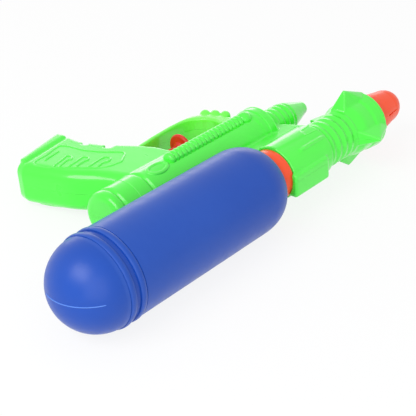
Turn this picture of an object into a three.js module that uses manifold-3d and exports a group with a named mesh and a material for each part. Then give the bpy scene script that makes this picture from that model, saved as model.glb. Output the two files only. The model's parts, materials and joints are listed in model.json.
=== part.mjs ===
// Toy water pistol lying on its right side, in millimetres.
// Local axes before the roll: x forward along the tank, y down towards the butt, z out of the left side.
// The local origin is on the tank axis at the front edge of the tank's front bead.
import * as THREE from 'three';
import { mergeVertices } from 'three/addons/utils/BufferGeometryUtils.js';
import Module from 'manifold-3d';

const wasm = await Module();
wasm.setup();

// Tank
const TANK_RADIUS = 24;
const TANK_WALL = 1.4;
const DOME_X = -6;
const BEAD_RADIUS = 24.6;
const BEAD_STARTS = [-8.8, -4.2];
const BEAD_WIDTH = 3.8;
const SHOULDER_X = 96;
const SHOULDER_END = 114.6;
const SHOULDER_FLAT_RADIUS = 12.5;
const NECK_RADIUS = 8.8;
const NECK_LENGTH = 16.9;
const NECK_END = SHOULDER_END + NECK_LENGTH;
const THREAD_PITCH = 4;
const THREAD_ROUND = 1;
const THREAD_START = SHOULDER_END + 3.9;
const THREAD_TURNS = 2;
const THREAD_STEPS = 14;

// Fits
const PARTING_GAP = 0.3;
const SEAT_GAP = 0.3;
const SLIDE_GAP = 0.25;
const PUSH_GAP = 0.1;
const NECK_GAP = 0.45;
const THREAD_GAP = 0.7;

// Tank socket, the collar between tank and barrel
const COLLAR_RADIUS = 14.2;
const SEAL_THICKNESS = 0.9;
const COLLAR_START = SHOULDER_END + SEAL_THICKNESS + 2 * PUSH_GAP;
const COLLAR_LENGTH = 7.4;
const BARREL_START = COLLAR_START + COLLAR_LENGTH + SEAT_GAP;
const BARREL_RADIUS = 15;
const SHELL_WALL = 2;
const BARREL_BORE = BARREL_RADIUS - SHELL_WALL;
const SOCKET_BORE = NECK_RADIUS + NECK_GAP;
const SOCKET_FLOOR = NECK_END + 1;
const SOCKET_END = BARREL_START + 12.7;
const STUB_START = SOCKET_FLOOR - 9.5;
const SOCKET_GROOVE = { start: BARREL_START + 3.2, end: BARREL_START + 6, radius: 11.4 };
const ELBOW_X = SOCKET_END + 5.4;
const ELBOW_DROP = 12;

// Hoses and the spigots they push on
const SPIGOT_RADIUS = 1.9;
const SPIGOT_BORE = 1.1;
const HOSE_BORE = SPIGOT_RADIUS + PUSH_GAP;
const HOSE_RADIUS = 2.6;

// Barrel, bellows, shroud and nozzle, one after the other on the tank axis
const BARREL_LENGTH = 34.6;
const BARREL_END = BARREL_START + BARREL_LENGTH;
const BELLOWS_LENGTH = 28.5;
const BELLOWS_RADIUS = 13.3;
const BELLOWS_ROOT = 11.7;
const BELLOWS_RINGS = 5;
const SHROUD_START = BARREL_END + BELLOWS_LENGTH;
const SHROUD_LENGTH = 19.5;
const FLARE_RADIUS = 15.6;
const LIP_END = SHROUD_START + SHROUD_LENGTH;
const LIP_START = LIP_END - 8;
const LIP_RADIUS = 17.2;
const FIN_RADIUS = BEAD_RADIUS;
const FIN_FRONT_RADIUS = 19;
const FIN_TIP_X = SHROUD_START + 3.5;
const FIN_REAR_HALF = 3.4;
const FIN_FRONT_HALF = 5;
const NOZZLE_LENGTH = 31;
const NOZZLE_SEAT_RADIUS = 12.3;
const NOZZLE_RADIUS = 13.4;
const NOZZLE_TIP_RADIUS = 9.9;
const NOZZLE_END = LIP_END + NOZZLE_LENGTH;
const NOZZLE_TIP_X = NOZZLE_END - 10;
const NOZZLE_REAR = LIP_END - 12;
const NOZZLE_FLANGE = { start: NOZZLE_REAR + 3.2, end: NOZZLE_REAR + 5.6, radius: 13.8 };
const JET_RADIUS = 2.4;
const HOSE_END = LIP_END + 1;
const HOSE_RIB_X = BARREL_END + 15;

// Lower tube and the muzzle in front of it
const TUBE_DROP = 40.3;
const TUBE_RADIUS = 14.2;
const TUBE_REAR = 37;
const TUBE_FRONT = 162;
const TUBE_GROOVES = [[42.3, 44.6], [62.4, 64.8]];
const GROOVE_DEPTH = 1.3;
const MUZZLE_RADIUS = 9.4;
const MUZZLE_ROOT = 8.4;
const MUZZLE_RINGS = 5;
const MUZZLE_CONE_X = 184;
const MUZZLE_END = 203.5;

// Hose relief on both flanks of the tube
const RELIEF_DROP = 39.3;
const RELIEF_OUT = 13.2;
const RELIEF_RADIUS = 4.2;
const RELIEF_START = 84;
const RELIEF_END = 152;
const RELIEF_RINGS = 14;

// Grip, guard and web
const GRIP_HALF = 12;
const GRIP_ROUND = 6.5;
const BUTT_DROP = 118;
const BUTT_HALF = 12.6;
const GUARD_HALF = 7;
const BUMP_HALF = GUARD_HALF + 1.4;
const WEB_HALF = 4.5;
const RAIL_START = BARREL_START - 1.8;
const RAIL_END = BARREL_END - 7;
const RAIL_TOP = 16.8;
const RAIL_DEPTH = 9.5;
const RAIL_RISE = 4;

// Pump and trigger on one axis behind the finger opening
const PUMP_DROP = 65;
const PUMP_REAR = 62.5;
const PUMP_FRONT = 90;
const PUMP_RADIUS = 8;
const PUMP_BORE = 6.4;
const PUMP_FLOOR = PUMP_REAR + 2;
const PORT_X = 68.5;
const PORT_OUT = 4.2;
const PORT_TOP = 54.2;
const TRIGGER_TRAVEL = 10;
const SPRING_PRESSED = 8.5;
const PISTON_RADIUS = PUMP_BORE - SLIDE_GAP;
const PISTON_START = PUMP_FLOOR + SPRING_PRESSED + TRIGGER_TRAVEL;
const PISTON_LENGTH = 5.4;
const ROD_RADIUS = 2.2;
const TRIGGER_X = 119.4;
const TRIGGER_RADIUS = 8;
const TRIGGER_THICKNESS = 5.2;
const SPRING_WIRE = 0.45;
const SPRING_RADIUS = 4.9;
const SPRING_TURNS = 6;

// Check valves standing on the pump's two ports
const VALVE_RADIUS = 3.9;
const VALVE_FOOT = 56.8;
const VALVE_SEAT = 52.6;
const VALVE_TOP = 46;
const VALVE_CHAMBER = 2.3;
const VALVE_PLUG_END = 48;
const VALVE_SPIGOT_END = 40.4;
const VALVE_WAY = 1.2;
const BALL_RADIUS = 1.8;

// Screws, driven in from the right side
const SCREW_SPOTS = [
  [61, BUTT_DROP - 12],
  [50, TUBE_DROP],
  [110, 47],
  [147, 47],
  [BARREL_END - 12, -8.5],
  [173, TUBE_DROP],
];
const SCREW_SHANK = 1.2;
const SCREW_HEAD = 2.6;
const SCREW_HEAD_HEIGHT = 2;
const SCREW_SEAT_DEPTH = 5;
const SCREW_REACH = 6;
const BOSS_RADIUS = 3.6;

const ROUND = 24;
const SMALL_ROUND = 10;
const HOSE_SIDES = 6;

// Solids from three.js geometry
function solid(geometry) {
  const bare = geometry.index ? geometry.toNonIndexed() : geometry.clone();
  bare.deleteAttribute('normal');
  bare.deleteAttribute('uv');
  const merged = mergeVertices(bare, 1e-4);
  const points = merged.attributes.position.array;
  const index = Array.from(merged.index.array);
  const corners = [];
  let volume = 0;
  for (let i = 0; i < index.length; i += 3) {
    const [a, b, c] = [index[i], index[i + 1], index[i + 2]];
    if (a === b || b === c || a === c) continue;
    corners.push(a, b, c);
    const p = new THREE.Vector3().fromArray(points, a * 3);
    const q = new THREE.Vector3().fromArray(points, b * 3);
    const r = new THREE.Vector3().fromArray(points, c * 3);
    volume += p.dot(q.cross(r));
  }
  if (volume < 0) {
    for (let i = 0; i < corners.length; i += 3) {
      [corners[i], corners[i + 1]] = [corners[i + 1], corners[i]];
    }
  }
  return new wasm.Manifold(new wasm.Mesh({
    numProp: 3,
    vertProperties: new Float32Array(points),
    triVerts: new Uint32Array(corners),
  }));
}

function join(pieces) {
  return pieces.reduce((whole, piece) => whole.add(piece));
}

function cut(body, pieces) {
  return pieces.reduce((rest, piece) => rest.subtract(piece), body);
}

function geometryOf(body) {
  const mesh = body.getMesh();
  const geometry = new THREE.BufferGeometry();
  const points = [];
  for (let i = 0; i < mesh.numVert; i += 1) {
    points.push(...mesh.vertProperties.slice(i * mesh.numProp, i * mesh.numProp + 3));
  }
  geometry.setAttribute('position', new THREE.Float32BufferAttribute(points, 3));
  geometry.setIndex(Array.from(mesh.triVerts));
  geometry.computeVertexNormals();
  return geometry;
}

// A profile of [x, radius] pairs turned about a line along x at the given drop and side offset
function turned(profile, drop = 0, side = 0, segments = ROUND) {
  const points = profile.map(([x, radius]) => new THREE.Vector2(radius, x));
  const geometry = new THREE.LatheGeometry(points, segments);
  geometry.rotateZ(-Math.PI / 2);
  geometry.translate(0, drop, side);
  return solid(geometry);
}

// A profile of [drop, radius] pairs turned about a line along y
function turnedUpright(profile, x, side, segments = SMALL_ROUND) {
  const points = profile.map(([drop, radius]) => new THREE.Vector2(radius, drop));
  const geometry = new THREE.LatheGeometry(points, segments);
  geometry.translate(x, 0, side);
  return solid(geometry);
}

function barAlongX(start, end, radius, drop = 0, side = 0, segments = ROUND) {
  return turned([[start, 0], [start, radius], [end, radius], [end, 0]], drop, side, segments);
}

function barAlongY(start, end, radius, x, side, segments = SMALL_ROUND) {
  return turnedUpright([[start, 0], [start, radius], [end, radius], [end, 0]], x, side, segments);
}

function barAlongZ(start, end, radius, x, drop, segments = SMALL_ROUND) {
  const geometry = new THREE.CylinderGeometry(radius, radius, end - start, segments);
  geometry.rotateX(Math.PI / 2);
  geometry.translate(x, drop, (start + end) / 2);
  return solid(geometry);
}

function block(x0, x1, y0, y1, z0, z1) {
  const geometry = new THREE.BoxGeometry(x1 - x0, y1 - y0, z1 - z0);
  geometry.translate((x0 + x1) / 2, (y0 + y1) / 2, (z0 + z1) / 2);
  return solid(geometry);
}

// A flat outline made into a plate centred on the mid plane, its rim rounded by the given size
function plate(outline, half, round = 0, steps = 3) {
  const shape = new THREE.Shape(outline.map(([x, y]) => new THREE.Vector2(x, y)));
  const geometry = new THREE.ExtrudeGeometry(shape, {
    depth: 2 * (half - round),
    bevelEnabled: round > 0,
    bevelThickness: round,
    bevelSize: round,
    bevelOffset: -round,
    bevelSegments: steps,
    steps: 1,
  });
  geometry.translate(0, 0, round - half);
  return solid(geometry);
}

function smoothLine(points, count) {
  const stops = points.map(([x, y]) => new THREE.Vector3(x, y, 0));
  const curve = new THREE.CatmullRomCurve3(stops, false, 'centripetal');
  return curve.getPoints(count).map((p) => [p.x, p.y]);
}

function arc(centreX, centreR, radius, from, to, steps) {
  return Array.from({ length: steps + 1 }, (_, i) => {
    const angle = THREE.MathUtils.degToRad(from + ((to - from) * i) / steps);
    return [centreX + radius * Math.cos(angle), centreR + radius * Math.sin(angle)];
  });
}

class Helix extends THREE.Curve {
  constructor(start, pitch, turns, radius) {
    super();
    Object.assign(this, { start, pitch, turns, radius });
  }

  getPoint(t, target = new THREE.Vector3()) {
    const angle = t * this.turns * 2 * Math.PI + this.phase();
    const x = this.start + t * this.turns * this.pitch;
    return target.set(x, this.radius * Math.cos(angle), this.radius * Math.sin(angle));
  }

  // The phase follows the start so that every helix of one pitch lies on the same thread
  phase() {
    return (this.start / this.pitch) * 2 * Math.PI;
  }
}

function ring(radius, sides) {
  return Array.from({ length: sides }, (_, i) => {
    const angle = (2 * Math.PI * i) / sides;
    return new THREE.Vector2(radius * Math.cos(angle), radius * Math.sin(angle));
  });
}

function coil(helix, wire, sides, stepsPerTurn) {
  return new THREE.ExtrudeGeometry(new THREE.Shape(ring(wire, sides)), {
    steps: Math.round(helix.turns * stepsPerTurn),
    bevelEnabled: false,
    extrudePath: helix,
  });
}

function hose(points, steps) {
  const section = new THREE.Shape(ring(HOSE_RADIUS, HOSE_SIDES));
  const boreCorner = HOSE_BORE / Math.cos(Math.PI / HOSE_SIDES);
  section.holes.push(new THREE.Path(ring(boreCorner, HOSE_SIDES).reverse()));
  const stops = points.map((p) => new THREE.Vector3(...p));
  const path = new THREE.CatmullRomCurve3(stops, false, 'centripetal');
  return solid(new THREE.ExtrudeGeometry(section, {
    steps,
    bevelEnabled: false,
    extrudePath: path,
  }));
}

// Ring ribs along x: a wavy profile between two ends
function ribs(start, end, count, root, crest) {
  const pitch = (end - start) / count;
  const profile = [];
  for (let i = 0; i < count; i += 1) {
    const x = start + i * pitch;
    profile.push([x, root], [x + 0.5 * pitch, crest]);
  }
  profile.push([end, root]);
  return profile;
}

// Water tank
function tankOutside() {
  const dome = arc(DOME_X, 0, TANK_RADIUS, 180, 106, 6);
  dome[0][1] = 0;
  const beads = BEAD_STARTS.flatMap((x) => [
    [x - 0.4, TANK_RADIUS - 0.4],
    [x + 0.4, BEAD_RADIUS],
    [x + BEAD_WIDTH - 0.4, BEAD_RADIUS],
    [x + BEAD_WIDTH + 0.4, TANK_RADIUS - 0.4],
  ]);
  const fall = TANK_RADIUS - SHOULDER_FLAT_RADIUS;
  const run = SHOULDER_END - SHOULDER_X;
  const shoulder = arc(0, 0, 1, 90, 0, 5).map(([c, s]) => [
    SHOULDER_X + run * c,
    SHOULDER_FLAT_RADIUS + fall * s,
  ]);
  return [...dome, ...beads, [1, TANK_RADIUS], ...shoulder];
}

function tankInside() {
  const radius = TANK_RADIUS - TANK_WALL;
  const dome = arc(DOME_X, 0, radius, 90, 180, 4);
  dome[dome.length - 1][1] = 0;
  return [
    [NECK_END, NECK_RADIUS - TANK_WALL],
    [SHOULDER_END - 1, NECK_RADIUS - TANK_WALL],
    [SHOULDER_END - 1.6, SHOULDER_FLAT_RADIUS - TANK_WALL],
    [SHOULDER_X + 12, 19.2],
    [SHOULDER_X - 1, radius],
    ...dome,
  ];
}

const tankThread = new Helix(THREAD_START, THREAD_PITCH, THREAD_TURNS, NECK_RADIUS);
const waterTank = join([
  turned([
    ...tankOutside(),
    [SHOULDER_END, NECK_RADIUS],
    [NECK_END, NECK_RADIUS],
    ...tankInside(),
  ]),
  solid(coil(tankThread, THREAD_ROUND, 5, THREAD_STEPS)),
]);

// Flat ring between the tank's shoulder and the collar
const tankSeal = turned([
  [SHOULDER_END + PUSH_GAP, NECK_RADIUS + PUSH_GAP],
  [SHOULDER_END + PUSH_GAP, SHOULDER_FLAT_RADIUS],
  [SHOULDER_END + PUSH_GAP + SEAL_THICKNESS, SHOULDER_FLAT_RADIUS],
  [SHOULDER_END + PUSH_GAP + SEAL_THICKNESS, NECK_RADIUS + PUSH_GAP],
  [SHOULDER_END + PUSH_GAP, NECK_RADIUS + PUSH_GAP],
]);

// Socket: threaded collar held in the barrel, with an elbow for the hose and a stub for the dip tube
const socketThread = new Helix(
  THREAD_START - 2 * THREAD_PITCH,
  THREAD_PITCH,
  THREAD_TURNS + 2.6,
  NECK_RADIUS,
);
const SPIGOT_FIT = BARREL_BORE - SEAT_GAP;
const tankSocket = cut(
  join([
    turned([
      [STUB_START, 0],
      [STUB_START, SPIGOT_RADIUS],
      [SOCKET_FLOOR, SPIGOT_RADIUS],
      [SOCKET_FLOOR, SOCKET_BORE],
      [COLLAR_START, SOCKET_BORE],
      [COLLAR_START, COLLAR_RADIUS - 0.5],
      [COLLAR_START + 0.5, COLLAR_RADIUS],
      [BARREL_START - SEAT_GAP, COLLAR_RADIUS],
      [BARREL_START - SEAT_GAP, SPIGOT_FIT],
      [SOCKET_GROOVE.start, SPIGOT_FIT],
      [SOCKET_GROOVE.start, SOCKET_GROOVE.radius],
      [SOCKET_GROOVE.end, SOCKET_GROOVE.radius],
      [SOCKET_GROOVE.end, SPIGOT_FIT],
      [SOCKET_END, SPIGOT_FIT],
      [SOCKET_END, 4.6],
      [ELBOW_X + 4, 4.6],
      [ELBOW_X + 4, 0],
    ]),
    barAlongY(3, ELBOW_DROP, SPIGOT_RADIUS, ELBOW_X, 0),
  ]),
  [
    barAlongX(STUB_START - 1, ELBOW_X + SPIGOT_BORE, SPIGOT_BORE, 0, 0, SMALL_ROUND),
    barAlongY(0, ELBOW_DROP + 1, SPIGOT_BORE, ELBOW_X, 0),
    solid(coil(socketThread, THREAD_ROUND + THREAD_GAP, 5, THREAD_STEPS)),
  ],
);

const dipTube = hose([
  [SOCKET_FLOOR - PUSH_GAP, 0, 0],
  [STUB_START + 1, 0, 0],
  [112, 0.6, 0],
  [90, 5, 0],
  [50, 13, 0],
  [10, 17, 0],
  [-10, 17.4, 0],
], 12);

// Outside form of the body, both halves together
function housing() {
  const radius = BARREL_RADIUS;
  const barrel = turned([
    [BARREL_START, 0],
    [BARREL_START, radius - 0.5],
    [BARREL_START + 0.6, radius],
    [BARREL_END - 1, radius],
    [BARREL_END, radius - 1],
    ...ribs(BARREL_END + 0.4, SHROUD_START - 2, BELLOWS_RINGS, BELLOWS_ROOT, BELLOWS_RADIUS),
    [SHROUD_START + 1, BELLOWS_ROOT],
    [SHROUD_START + 1, 0],
  ]);
  const rail = block(RAIL_START, RAIL_END, -RAIL_TOP, -6, -RAIL_DEPTH, RAIL_RISE);
  const clearRail = rail.subtract(barAlongX(100, BARREL_START + SEAT_GAP, COLLAR_RADIUS + SEAT_GAP));
  const sideRibs = [-1, 1].map((side) => (
    barAlongX(BARREL_END - 23, BARREL_END - 2, 1, -9.6, side * 11.7, 8)
  ));
  return join([barrel, clearRail, ...sideRibs]);
}

// Shroud: a round flare with four tapered fins
function shroud() {
  const flare = turned([
    [SHROUD_START, 0],
    [SHROUD_START, FLARE_RADIUS - 0.6],
    [SHROUD_START + 0.6, FLARE_RADIUS],
    [LIP_START, FLARE_RADIUS],
    [LIP_START + 0.8, LIP_RADIUS - 1],
    [LIP_END, LIP_RADIUS],
    [LIP_END, 0],
  ]);
  const fin = new THREE.BufferGeometry();
  const base = FLARE_RADIUS - 2.6;
  fin.setAttribute('position', new THREE.Float32BufferAttribute([
    SHROUD_START - 2.5, base, -FIN_REAR_HALF,
    SHROUD_START - 2.5, base, FIN_REAR_HALF,
    LIP_END - 0.5, base, FIN_FRONT_HALF,
    LIP_END - 0.5, base, -FIN_FRONT_HALF,
    FIN_TIP_X, FIN_RADIUS, -0.8,
    FIN_TIP_X, FIN_RADIUS, 0.8,
    LIP_END - 0.5, FIN_FRONT_RADIUS, 0.8,
    LIP_END - 0.5, FIN_FRONT_RADIUS, -0.8,
  ], 3));
  fin.setIndex([
    0, 1, 2, 0, 2, 3, 4, 6, 5, 4, 7, 6,
    0, 4, 5, 0, 5, 1, 3, 2, 6, 3, 6, 7,
    1, 5, 6, 1, 6, 2, 0, 3, 7, 0, 7, 4,
  ]);
  const fins = [0, 1, 2, 3].map((i) => solid(fin.clone().rotateX((i * Math.PI) / 2)));
  return join([flare, ...fins]);
}

function lowerTube() {
  const groove = ([from, to]) => [
    [from, TUBE_RADIUS],
    [from + 0.5, TUBE_RADIUS - GROOVE_DEPTH],
    [to - 0.5, TUBE_RADIUS - GROOVE_DEPTH],
    [to, TUBE_RADIUS],
  ];
  return turned([
    [TUBE_REAR, 0],
    [TUBE_REAR + 0.6, 8],
    [TUBE_REAR + 1.2, 12],
    [TUBE_REAR + 2.2, TUBE_RADIUS - 0.4],
    [TUBE_REAR + 3, TUBE_RADIUS],
    ...groove(TUBE_GROOVES[0]),
    ...groove(TUBE_GROOVES[1]),
    [151, TUBE_RADIUS],
    [151.6, TUBE_RADIUS + 0.5],
    [155.4, TUBE_RADIUS + 0.5],
    [156, TUBE_RADIUS + 1],
    [160.6, TUBE_RADIUS + 1],
    [TUBE_FRONT, TUBE_RADIUS],
    [TUBE_FRONT, MUZZLE_ROOT],
    ...ribs(TUBE_FRONT + 1, MUZZLE_CONE_X, MUZZLE_RINGS, MUZZLE_ROOT, MUZZLE_RADIUS),
    [MUZZLE_CONE_X + 1, MUZZLE_RADIUS - 0.3],
    [MUZZLE_END - 5, 4.6],
    [MUZZLE_END - 2, 3.6],
    [MUZZLE_END - 0.5, 2],
    [MUZZLE_END, 0],
  ], TUBE_DROP);
}

function reliefs() {
  const pieces = [];
  for (const side of [-1, 1]) {
    pieces.push(turned([
      [RELIEF_START, 0],
      ...ribs(RELIEF_START, RELIEF_END - 6, RELIEF_RINGS, RELIEF_RADIUS - 0.7, RELIEF_RADIUS),
      [RELIEF_END - 4, RELIEF_RADIUS + 0.3],
      [RELIEF_END - 1, RELIEF_RADIUS - 0.3],
      [RELIEF_END, 2],
      [RELIEF_END, 0],
    ], RELIEF_DROP, side * RELIEF_OUT, 8));
  }
  return pieces;
}

// The grip is a plate with a well rounded back strap, met by a second one that gives its front edge
const STRAP = smoothLine([
  [57, 54],
  [53.4, 63],
  [46.4, 76.6],
  [41.9, 91.6],
  [38.4, BUTT_DROP - 13],
], 7);
const GRIP_BACK = [
  [62, 40],
  ...STRAP,
  [39.4, BUTT_DROP - 7.6],
  [46, BUTT_DROP - 0.4],
  [92, BUTT_DROP + 10],
  [110, 84],
  [112, 40],
];
const GRIP_FRONT = [
  [30, 40],
  [30, BUTT_DROP - 9.2],
  [78.8, BUTT_DROP + 2.2],
  [78, 101],
  [81.6, 88],
  [85, 82],
  [91.6, 70],
  [96, 60],
  [99, 40],
];
const FINGER_NOTCHES = [
  [[86, 102], [76.2, 97.8], [77, 94.2], [86, 95]],
  [[90, 88], [79.8, 84], [81.4, 80.2], [92, 79.6]],
];
const BUTT_OUTLINE = [
  [43.2, BUTT_DROP - 12.6],
  [43.8, BUTT_DROP - 5.6],
  [78.8, BUTT_DROP + 2.8],
  [79.2, BUTT_DROP - 7.6],
];

function grip() {
  const back = plate(GRIP_BACK, GRIP_HALF, GRIP_ROUND, 4);
  const front = plate(GRIP_FRONT, GRIP_HALF, 0.8, 1);
  const notches = FINGER_NOTCHES.map((notch) => plate(notch, GRIP_HALF + 1));
  return join([cut(back.intersect(front), notches), plate(BUTT_OUTLINE, BUTT_HALF, 1.2, 2)]);
}

function guard() {
  const outer = smoothLine([
    [88, 74],
    [100, 77.6],
    [122, 80],
    [136, 80.2],
    [145, 78.8],
    [151, 75],
    [154, 69.6],
    [155.8, 64],
    [157, 58],
  ], 14);
  const inner = smoothLine([
    [147.4, 58],
    [148.4, 64],
    [145.6, 71.8],
    [137, 77.4],
    [118, 77],
    [100, 74.6],
    [90, 71],
  ], 12);
  const strap = plate([...outer, [157.4, 46], [147.4, 46], ...inner], GUARD_HALF, 0.8, 1);
  const bumps = [[153.4, 74.8], [156.2, 69.4], [158.4, 63.4]];
  return join([strap, ...bumps.map(([x, y]) => barAlongZ(-BUMP_HALF, BUMP_HALF, 3.2, x, y, 12))]);
}

const WEB_OUTLINE = [
  [BARREL_START + 5.6, 8],
  [BARREL_END + 20, 8],
  [BARREL_END + 16, 20],
  [BARREL_END + 10, 34],
  [BARREL_START + 5.6, 34],
];

const bodyOutside = join([
  housing(),
  shroud(),
  lowerTube(),
  ...reliefs(),
  grip(),
  guard(),
  plate(WEB_OUTLINE, WEB_HALF),
]);

// Hollow inside of the body
const GRIP_HOLLOW = [
  [64, 44],
  [62.2, 57],
  [59.4, 64.6],
  [53, 77],
  [48, 92],
  [45.4, BUTT_DROP - 10],
  [75.6, BUTT_DROP - 2.2],
  [73.6, 98],
  [77.4, 82],
  [88.4, 70],
  [92, 60],
  [93, 44],
];
const HOSE_WAY = [
  [ELBOW_X - 10.5, 6],
  [BARREL_END + 2, 6],
  [BARREL_END + 2, 36],
  [ELBOW_X - 10.5, 36],
];
const hollow = join([
  barAlongX(BARREL_START - 1, BARREL_END, BARREL_BORE),
  barAlongX(BARREL_END - 1, NOZZLE_REAR, BELLOWS_ROOT - SHELL_WALL),
  barAlongX(NOZZLE_REAR - SEAT_GAP, LIP_END + 1, NOZZLE_SEAT_RADIUS + SEAT_GAP),
  barAlongX(
    NOZZLE_FLANGE.start - SEAT_GAP,
    NOZZLE_FLANGE.end + SEAT_GAP,
    NOZZLE_FLANGE.radius + SEAT_GAP,
  ),
  barAlongX(
    TUBE_REAR + SHELL_WALL,
    TUBE_FRONT - SHELL_WALL,
    TUBE_RADIUS - GROOVE_DEPTH - SHELL_WALL,
    TUBE_DROP,
  ),
  barAlongX(TUBE_FRONT - 3, MUZZLE_CONE_X, MUZZLE_ROOT - SHELL_WALL, TUBE_DROP),
  plate(GRIP_HOLLOW, GRIP_HALF - SHELL_WALL),
  plate(HOSE_WAY, HOSE_RADIUS + 2 * SEAT_GAP),
]);

// Ribs inside the halves that hold the socket, the pump and the hose
const socketRib = cut(
  barAlongX(SOCKET_GROOVE.start + SEAT_GAP, SOCKET_GROOVE.end - SEAT_GAP, BARREL_BORE + 1),
  [barAlongX(SOCKET_GROOVE.start, SOCKET_GROOVE.end, SOCKET_GROOVE.radius + SEAT_GAP)],
);
const pumpSeat = barAlongX(PUMP_REAR - PUSH_GAP, PUMP_FRONT + PUSH_GAP, PUMP_RADIUS + PUSH_GAP, PUMP_DROP);
const pumpRibs = [[61.6, 63.4], [74, 75.8]].map(([from, to]) => (
  block(from, to, 58.4, 76, -GRIP_HALF + 1, GRIP_HALF - 1).intersect(bodyOutside)
));
const hoseRib = cut(
  barAlongX(HOSE_RIB_X - 1, HOSE_RIB_X + 1, BELLOWS_ROOT - 1),
  [barAlongX(HOSE_RIB_X - 2, HOSE_RIB_X + 2, HOSE_RADIUS + PUSH_GAP)],
);
const bosses = SCREW_SPOTS.map(([x, y]) => (
  barAlongZ(-20, 20, BOSS_RADIUS, x, y).intersect(bodyOutside)
));

// Ways through the body: rod, screws and screw-head recesses on the right
const rodWay = barAlongX(PUMP_FRONT - 4, 112, ROD_RADIUS + SLIDE_GAP, PUMP_DROP, 0, SMALL_ROUND);
const screwWays = SCREW_SPOTS.flatMap(([x, y]) => [
  barAlongZ(-SCREW_SEAT_DEPTH - 1, 0, SCREW_SHANK + SLIDE_GAP, x, y),
  barAlongZ(-1, SCREW_REACH + 1, SCREW_SHANK + PUSH_GAP, x, y),
  barAlongZ(-30, -SCREW_SEAT_DEPTH, SCREW_HEAD + SLIDE_GAP, x, y),
]);

const bodyWhole = cut(
  join([cut(bodyOutside, [hollow]), socketRib, ...pumpRibs, hoseRib, ...bosses]),
  [pumpSeat, rodWay, ...screwWays],
);
const leftBodyShell = bodyWhole.trimByPlane([0, 0, 1], PARTING_GAP / 2);
const rightBodyShell = bodyWhole.trimByPlane([0, 0, -1], PARTING_GAP / 2);

// Nozzle and jet
const nozzleTip = turned([
  [NOZZLE_REAR, 10.4],
  [NOZZLE_REAR, NOZZLE_SEAT_RADIUS],
  [NOZZLE_FLANGE.start, NOZZLE_SEAT_RADIUS],
  [NOZZLE_FLANGE.start, NOZZLE_FLANGE.radius],
  [NOZZLE_FLANGE.end, NOZZLE_FLANGE.radius],
  [NOZZLE_FLANGE.end, NOZZLE_SEAT_RADIUS],
  [LIP_END + SEAT_GAP, NOZZLE_SEAT_RADIUS],
  [LIP_END + SEAT_GAP, NOZZLE_RADIUS],
  [NOZZLE_TIP_X, NOZZLE_TIP_RADIUS],
  [NOZZLE_TIP_X + 4.4, NOZZLE_TIP_RADIUS - 1.1],
  [NOZZLE_TIP_X + 7.6, NOZZLE_TIP_RADIUS - 3.6],
  [NOZZLE_END - 0.6, 4.6],
  [NOZZLE_END, 3],
  [NOZZLE_END, JET_RADIUS + PUSH_GAP],
  [NOZZLE_END - 8, JET_RADIUS + PUSH_GAP],
  [NOZZLE_END - 9, 7],
  [LIP_END + 3, 10.4],
  [NOZZLE_REAR, 10.4],
]);
const nozzleJet = turned([
  [HOSE_END - 8, SPIGOT_BORE],
  [HOSE_END - 8, SPIGOT_RADIUS],
  [HOSE_END + PUSH_GAP, SPIGOT_RADIUS],
  [HOSE_END + PUSH_GAP, JET_RADIUS],
  [NOZZLE_END - 10, JET_RADIUS],
  [NOZZLE_END - 0.8, JET_RADIUS],
  [NOZZLE_END - 0.8, 0.7],
  [NOZZLE_END - 5, SPIGOT_BORE],
  [HOSE_END - 8, SPIGOT_BORE],
], 0, 0, SMALL_ROUND);

// Pump
const pumpCylinder = cut(
  join([
    turned([
      [PUMP_REAR, 0],
      [PUMP_REAR, PUMP_RADIUS],
      [PUMP_FRONT, PUMP_RADIUS],
      [PUMP_FRONT, PUMP_BORE],
      [PUMP_FLOOR, PUMP_BORE],
      [PUMP_FLOOR, 0],
    ], PUMP_DROP),
    ...[-1, 1].map((side) => (
      barAlongY(PORT_TOP, PUMP_DROP - 5.6, SPIGOT_RADIUS, PORT_X, side * PORT_OUT)
    )),
  ]),
  [-1, 1].map((side) => (
    barAlongY(PORT_TOP - 1, PUMP_DROP - 1, SPIGOT_BORE, PORT_X, side * PORT_OUT)
  )),
);

const trigger = turned([
  [PISTON_START + PISTON_LENGTH + PUSH_GAP, 0],
  [PISTON_START + PISTON_LENGTH + PUSH_GAP, ROD_RADIUS],
  [TRIGGER_X - 1.6, ROD_RADIUS],
  [TRIGGER_X, ROD_RADIUS + 1.6],
  [TRIGGER_X, TRIGGER_RADIUS - 0.8],
  [TRIGGER_X + 0.8, TRIGGER_RADIUS],
  [TRIGGER_X + TRIGGER_THICKNESS - 1.6, TRIGGER_RADIUS],
  [TRIGGER_X + TRIGGER_THICKNESS - 0.4, TRIGGER_RADIUS - 1.4],
  [TRIGGER_X + TRIGGER_THICKNESS, TRIGGER_RADIUS - 3.4],
  [TRIGGER_X + TRIGGER_THICKNESS, 0],
], PUMP_DROP);

const SEAL_GROOVE = { start: PISTON_START + 1.8, end: PISTON_START + 3.6, radius: PISTON_RADIUS - 1.2 };
const piston = turned([
  [PISTON_START, 0],
  [PISTON_START, PISTON_RADIUS],
  [SEAL_GROOVE.start, PISTON_RADIUS],
  [SEAL_GROOVE.start, SEAL_GROOVE.radius],
  [SEAL_GROOVE.end, SEAL_GROOVE.radius],
  [SEAL_GROOVE.end, PISTON_RADIUS],
  [PISTON_START + PISTON_LENGTH, PISTON_RADIUS],
  [PISTON_START + PISTON_LENGTH, 0],
], PUMP_DROP);
const pistonSeal = turned([
  [SEAL_GROOVE.start + PUSH_GAP, SEAL_GROOVE.radius + PUSH_GAP],
  [SEAL_GROOVE.start + PUSH_GAP, PUMP_BORE - PUSH_GAP],
  [SEAL_GROOVE.end - PUSH_GAP, PUMP_BORE - PUSH_GAP],
  [SEAL_GROOVE.end - PUSH_GAP, SEAL_GROOVE.radius + PUSH_GAP],
  [SEAL_GROOVE.start + PUSH_GAP, SEAL_GROOVE.radius + PUSH_GAP],
], PUMP_DROP);

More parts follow.
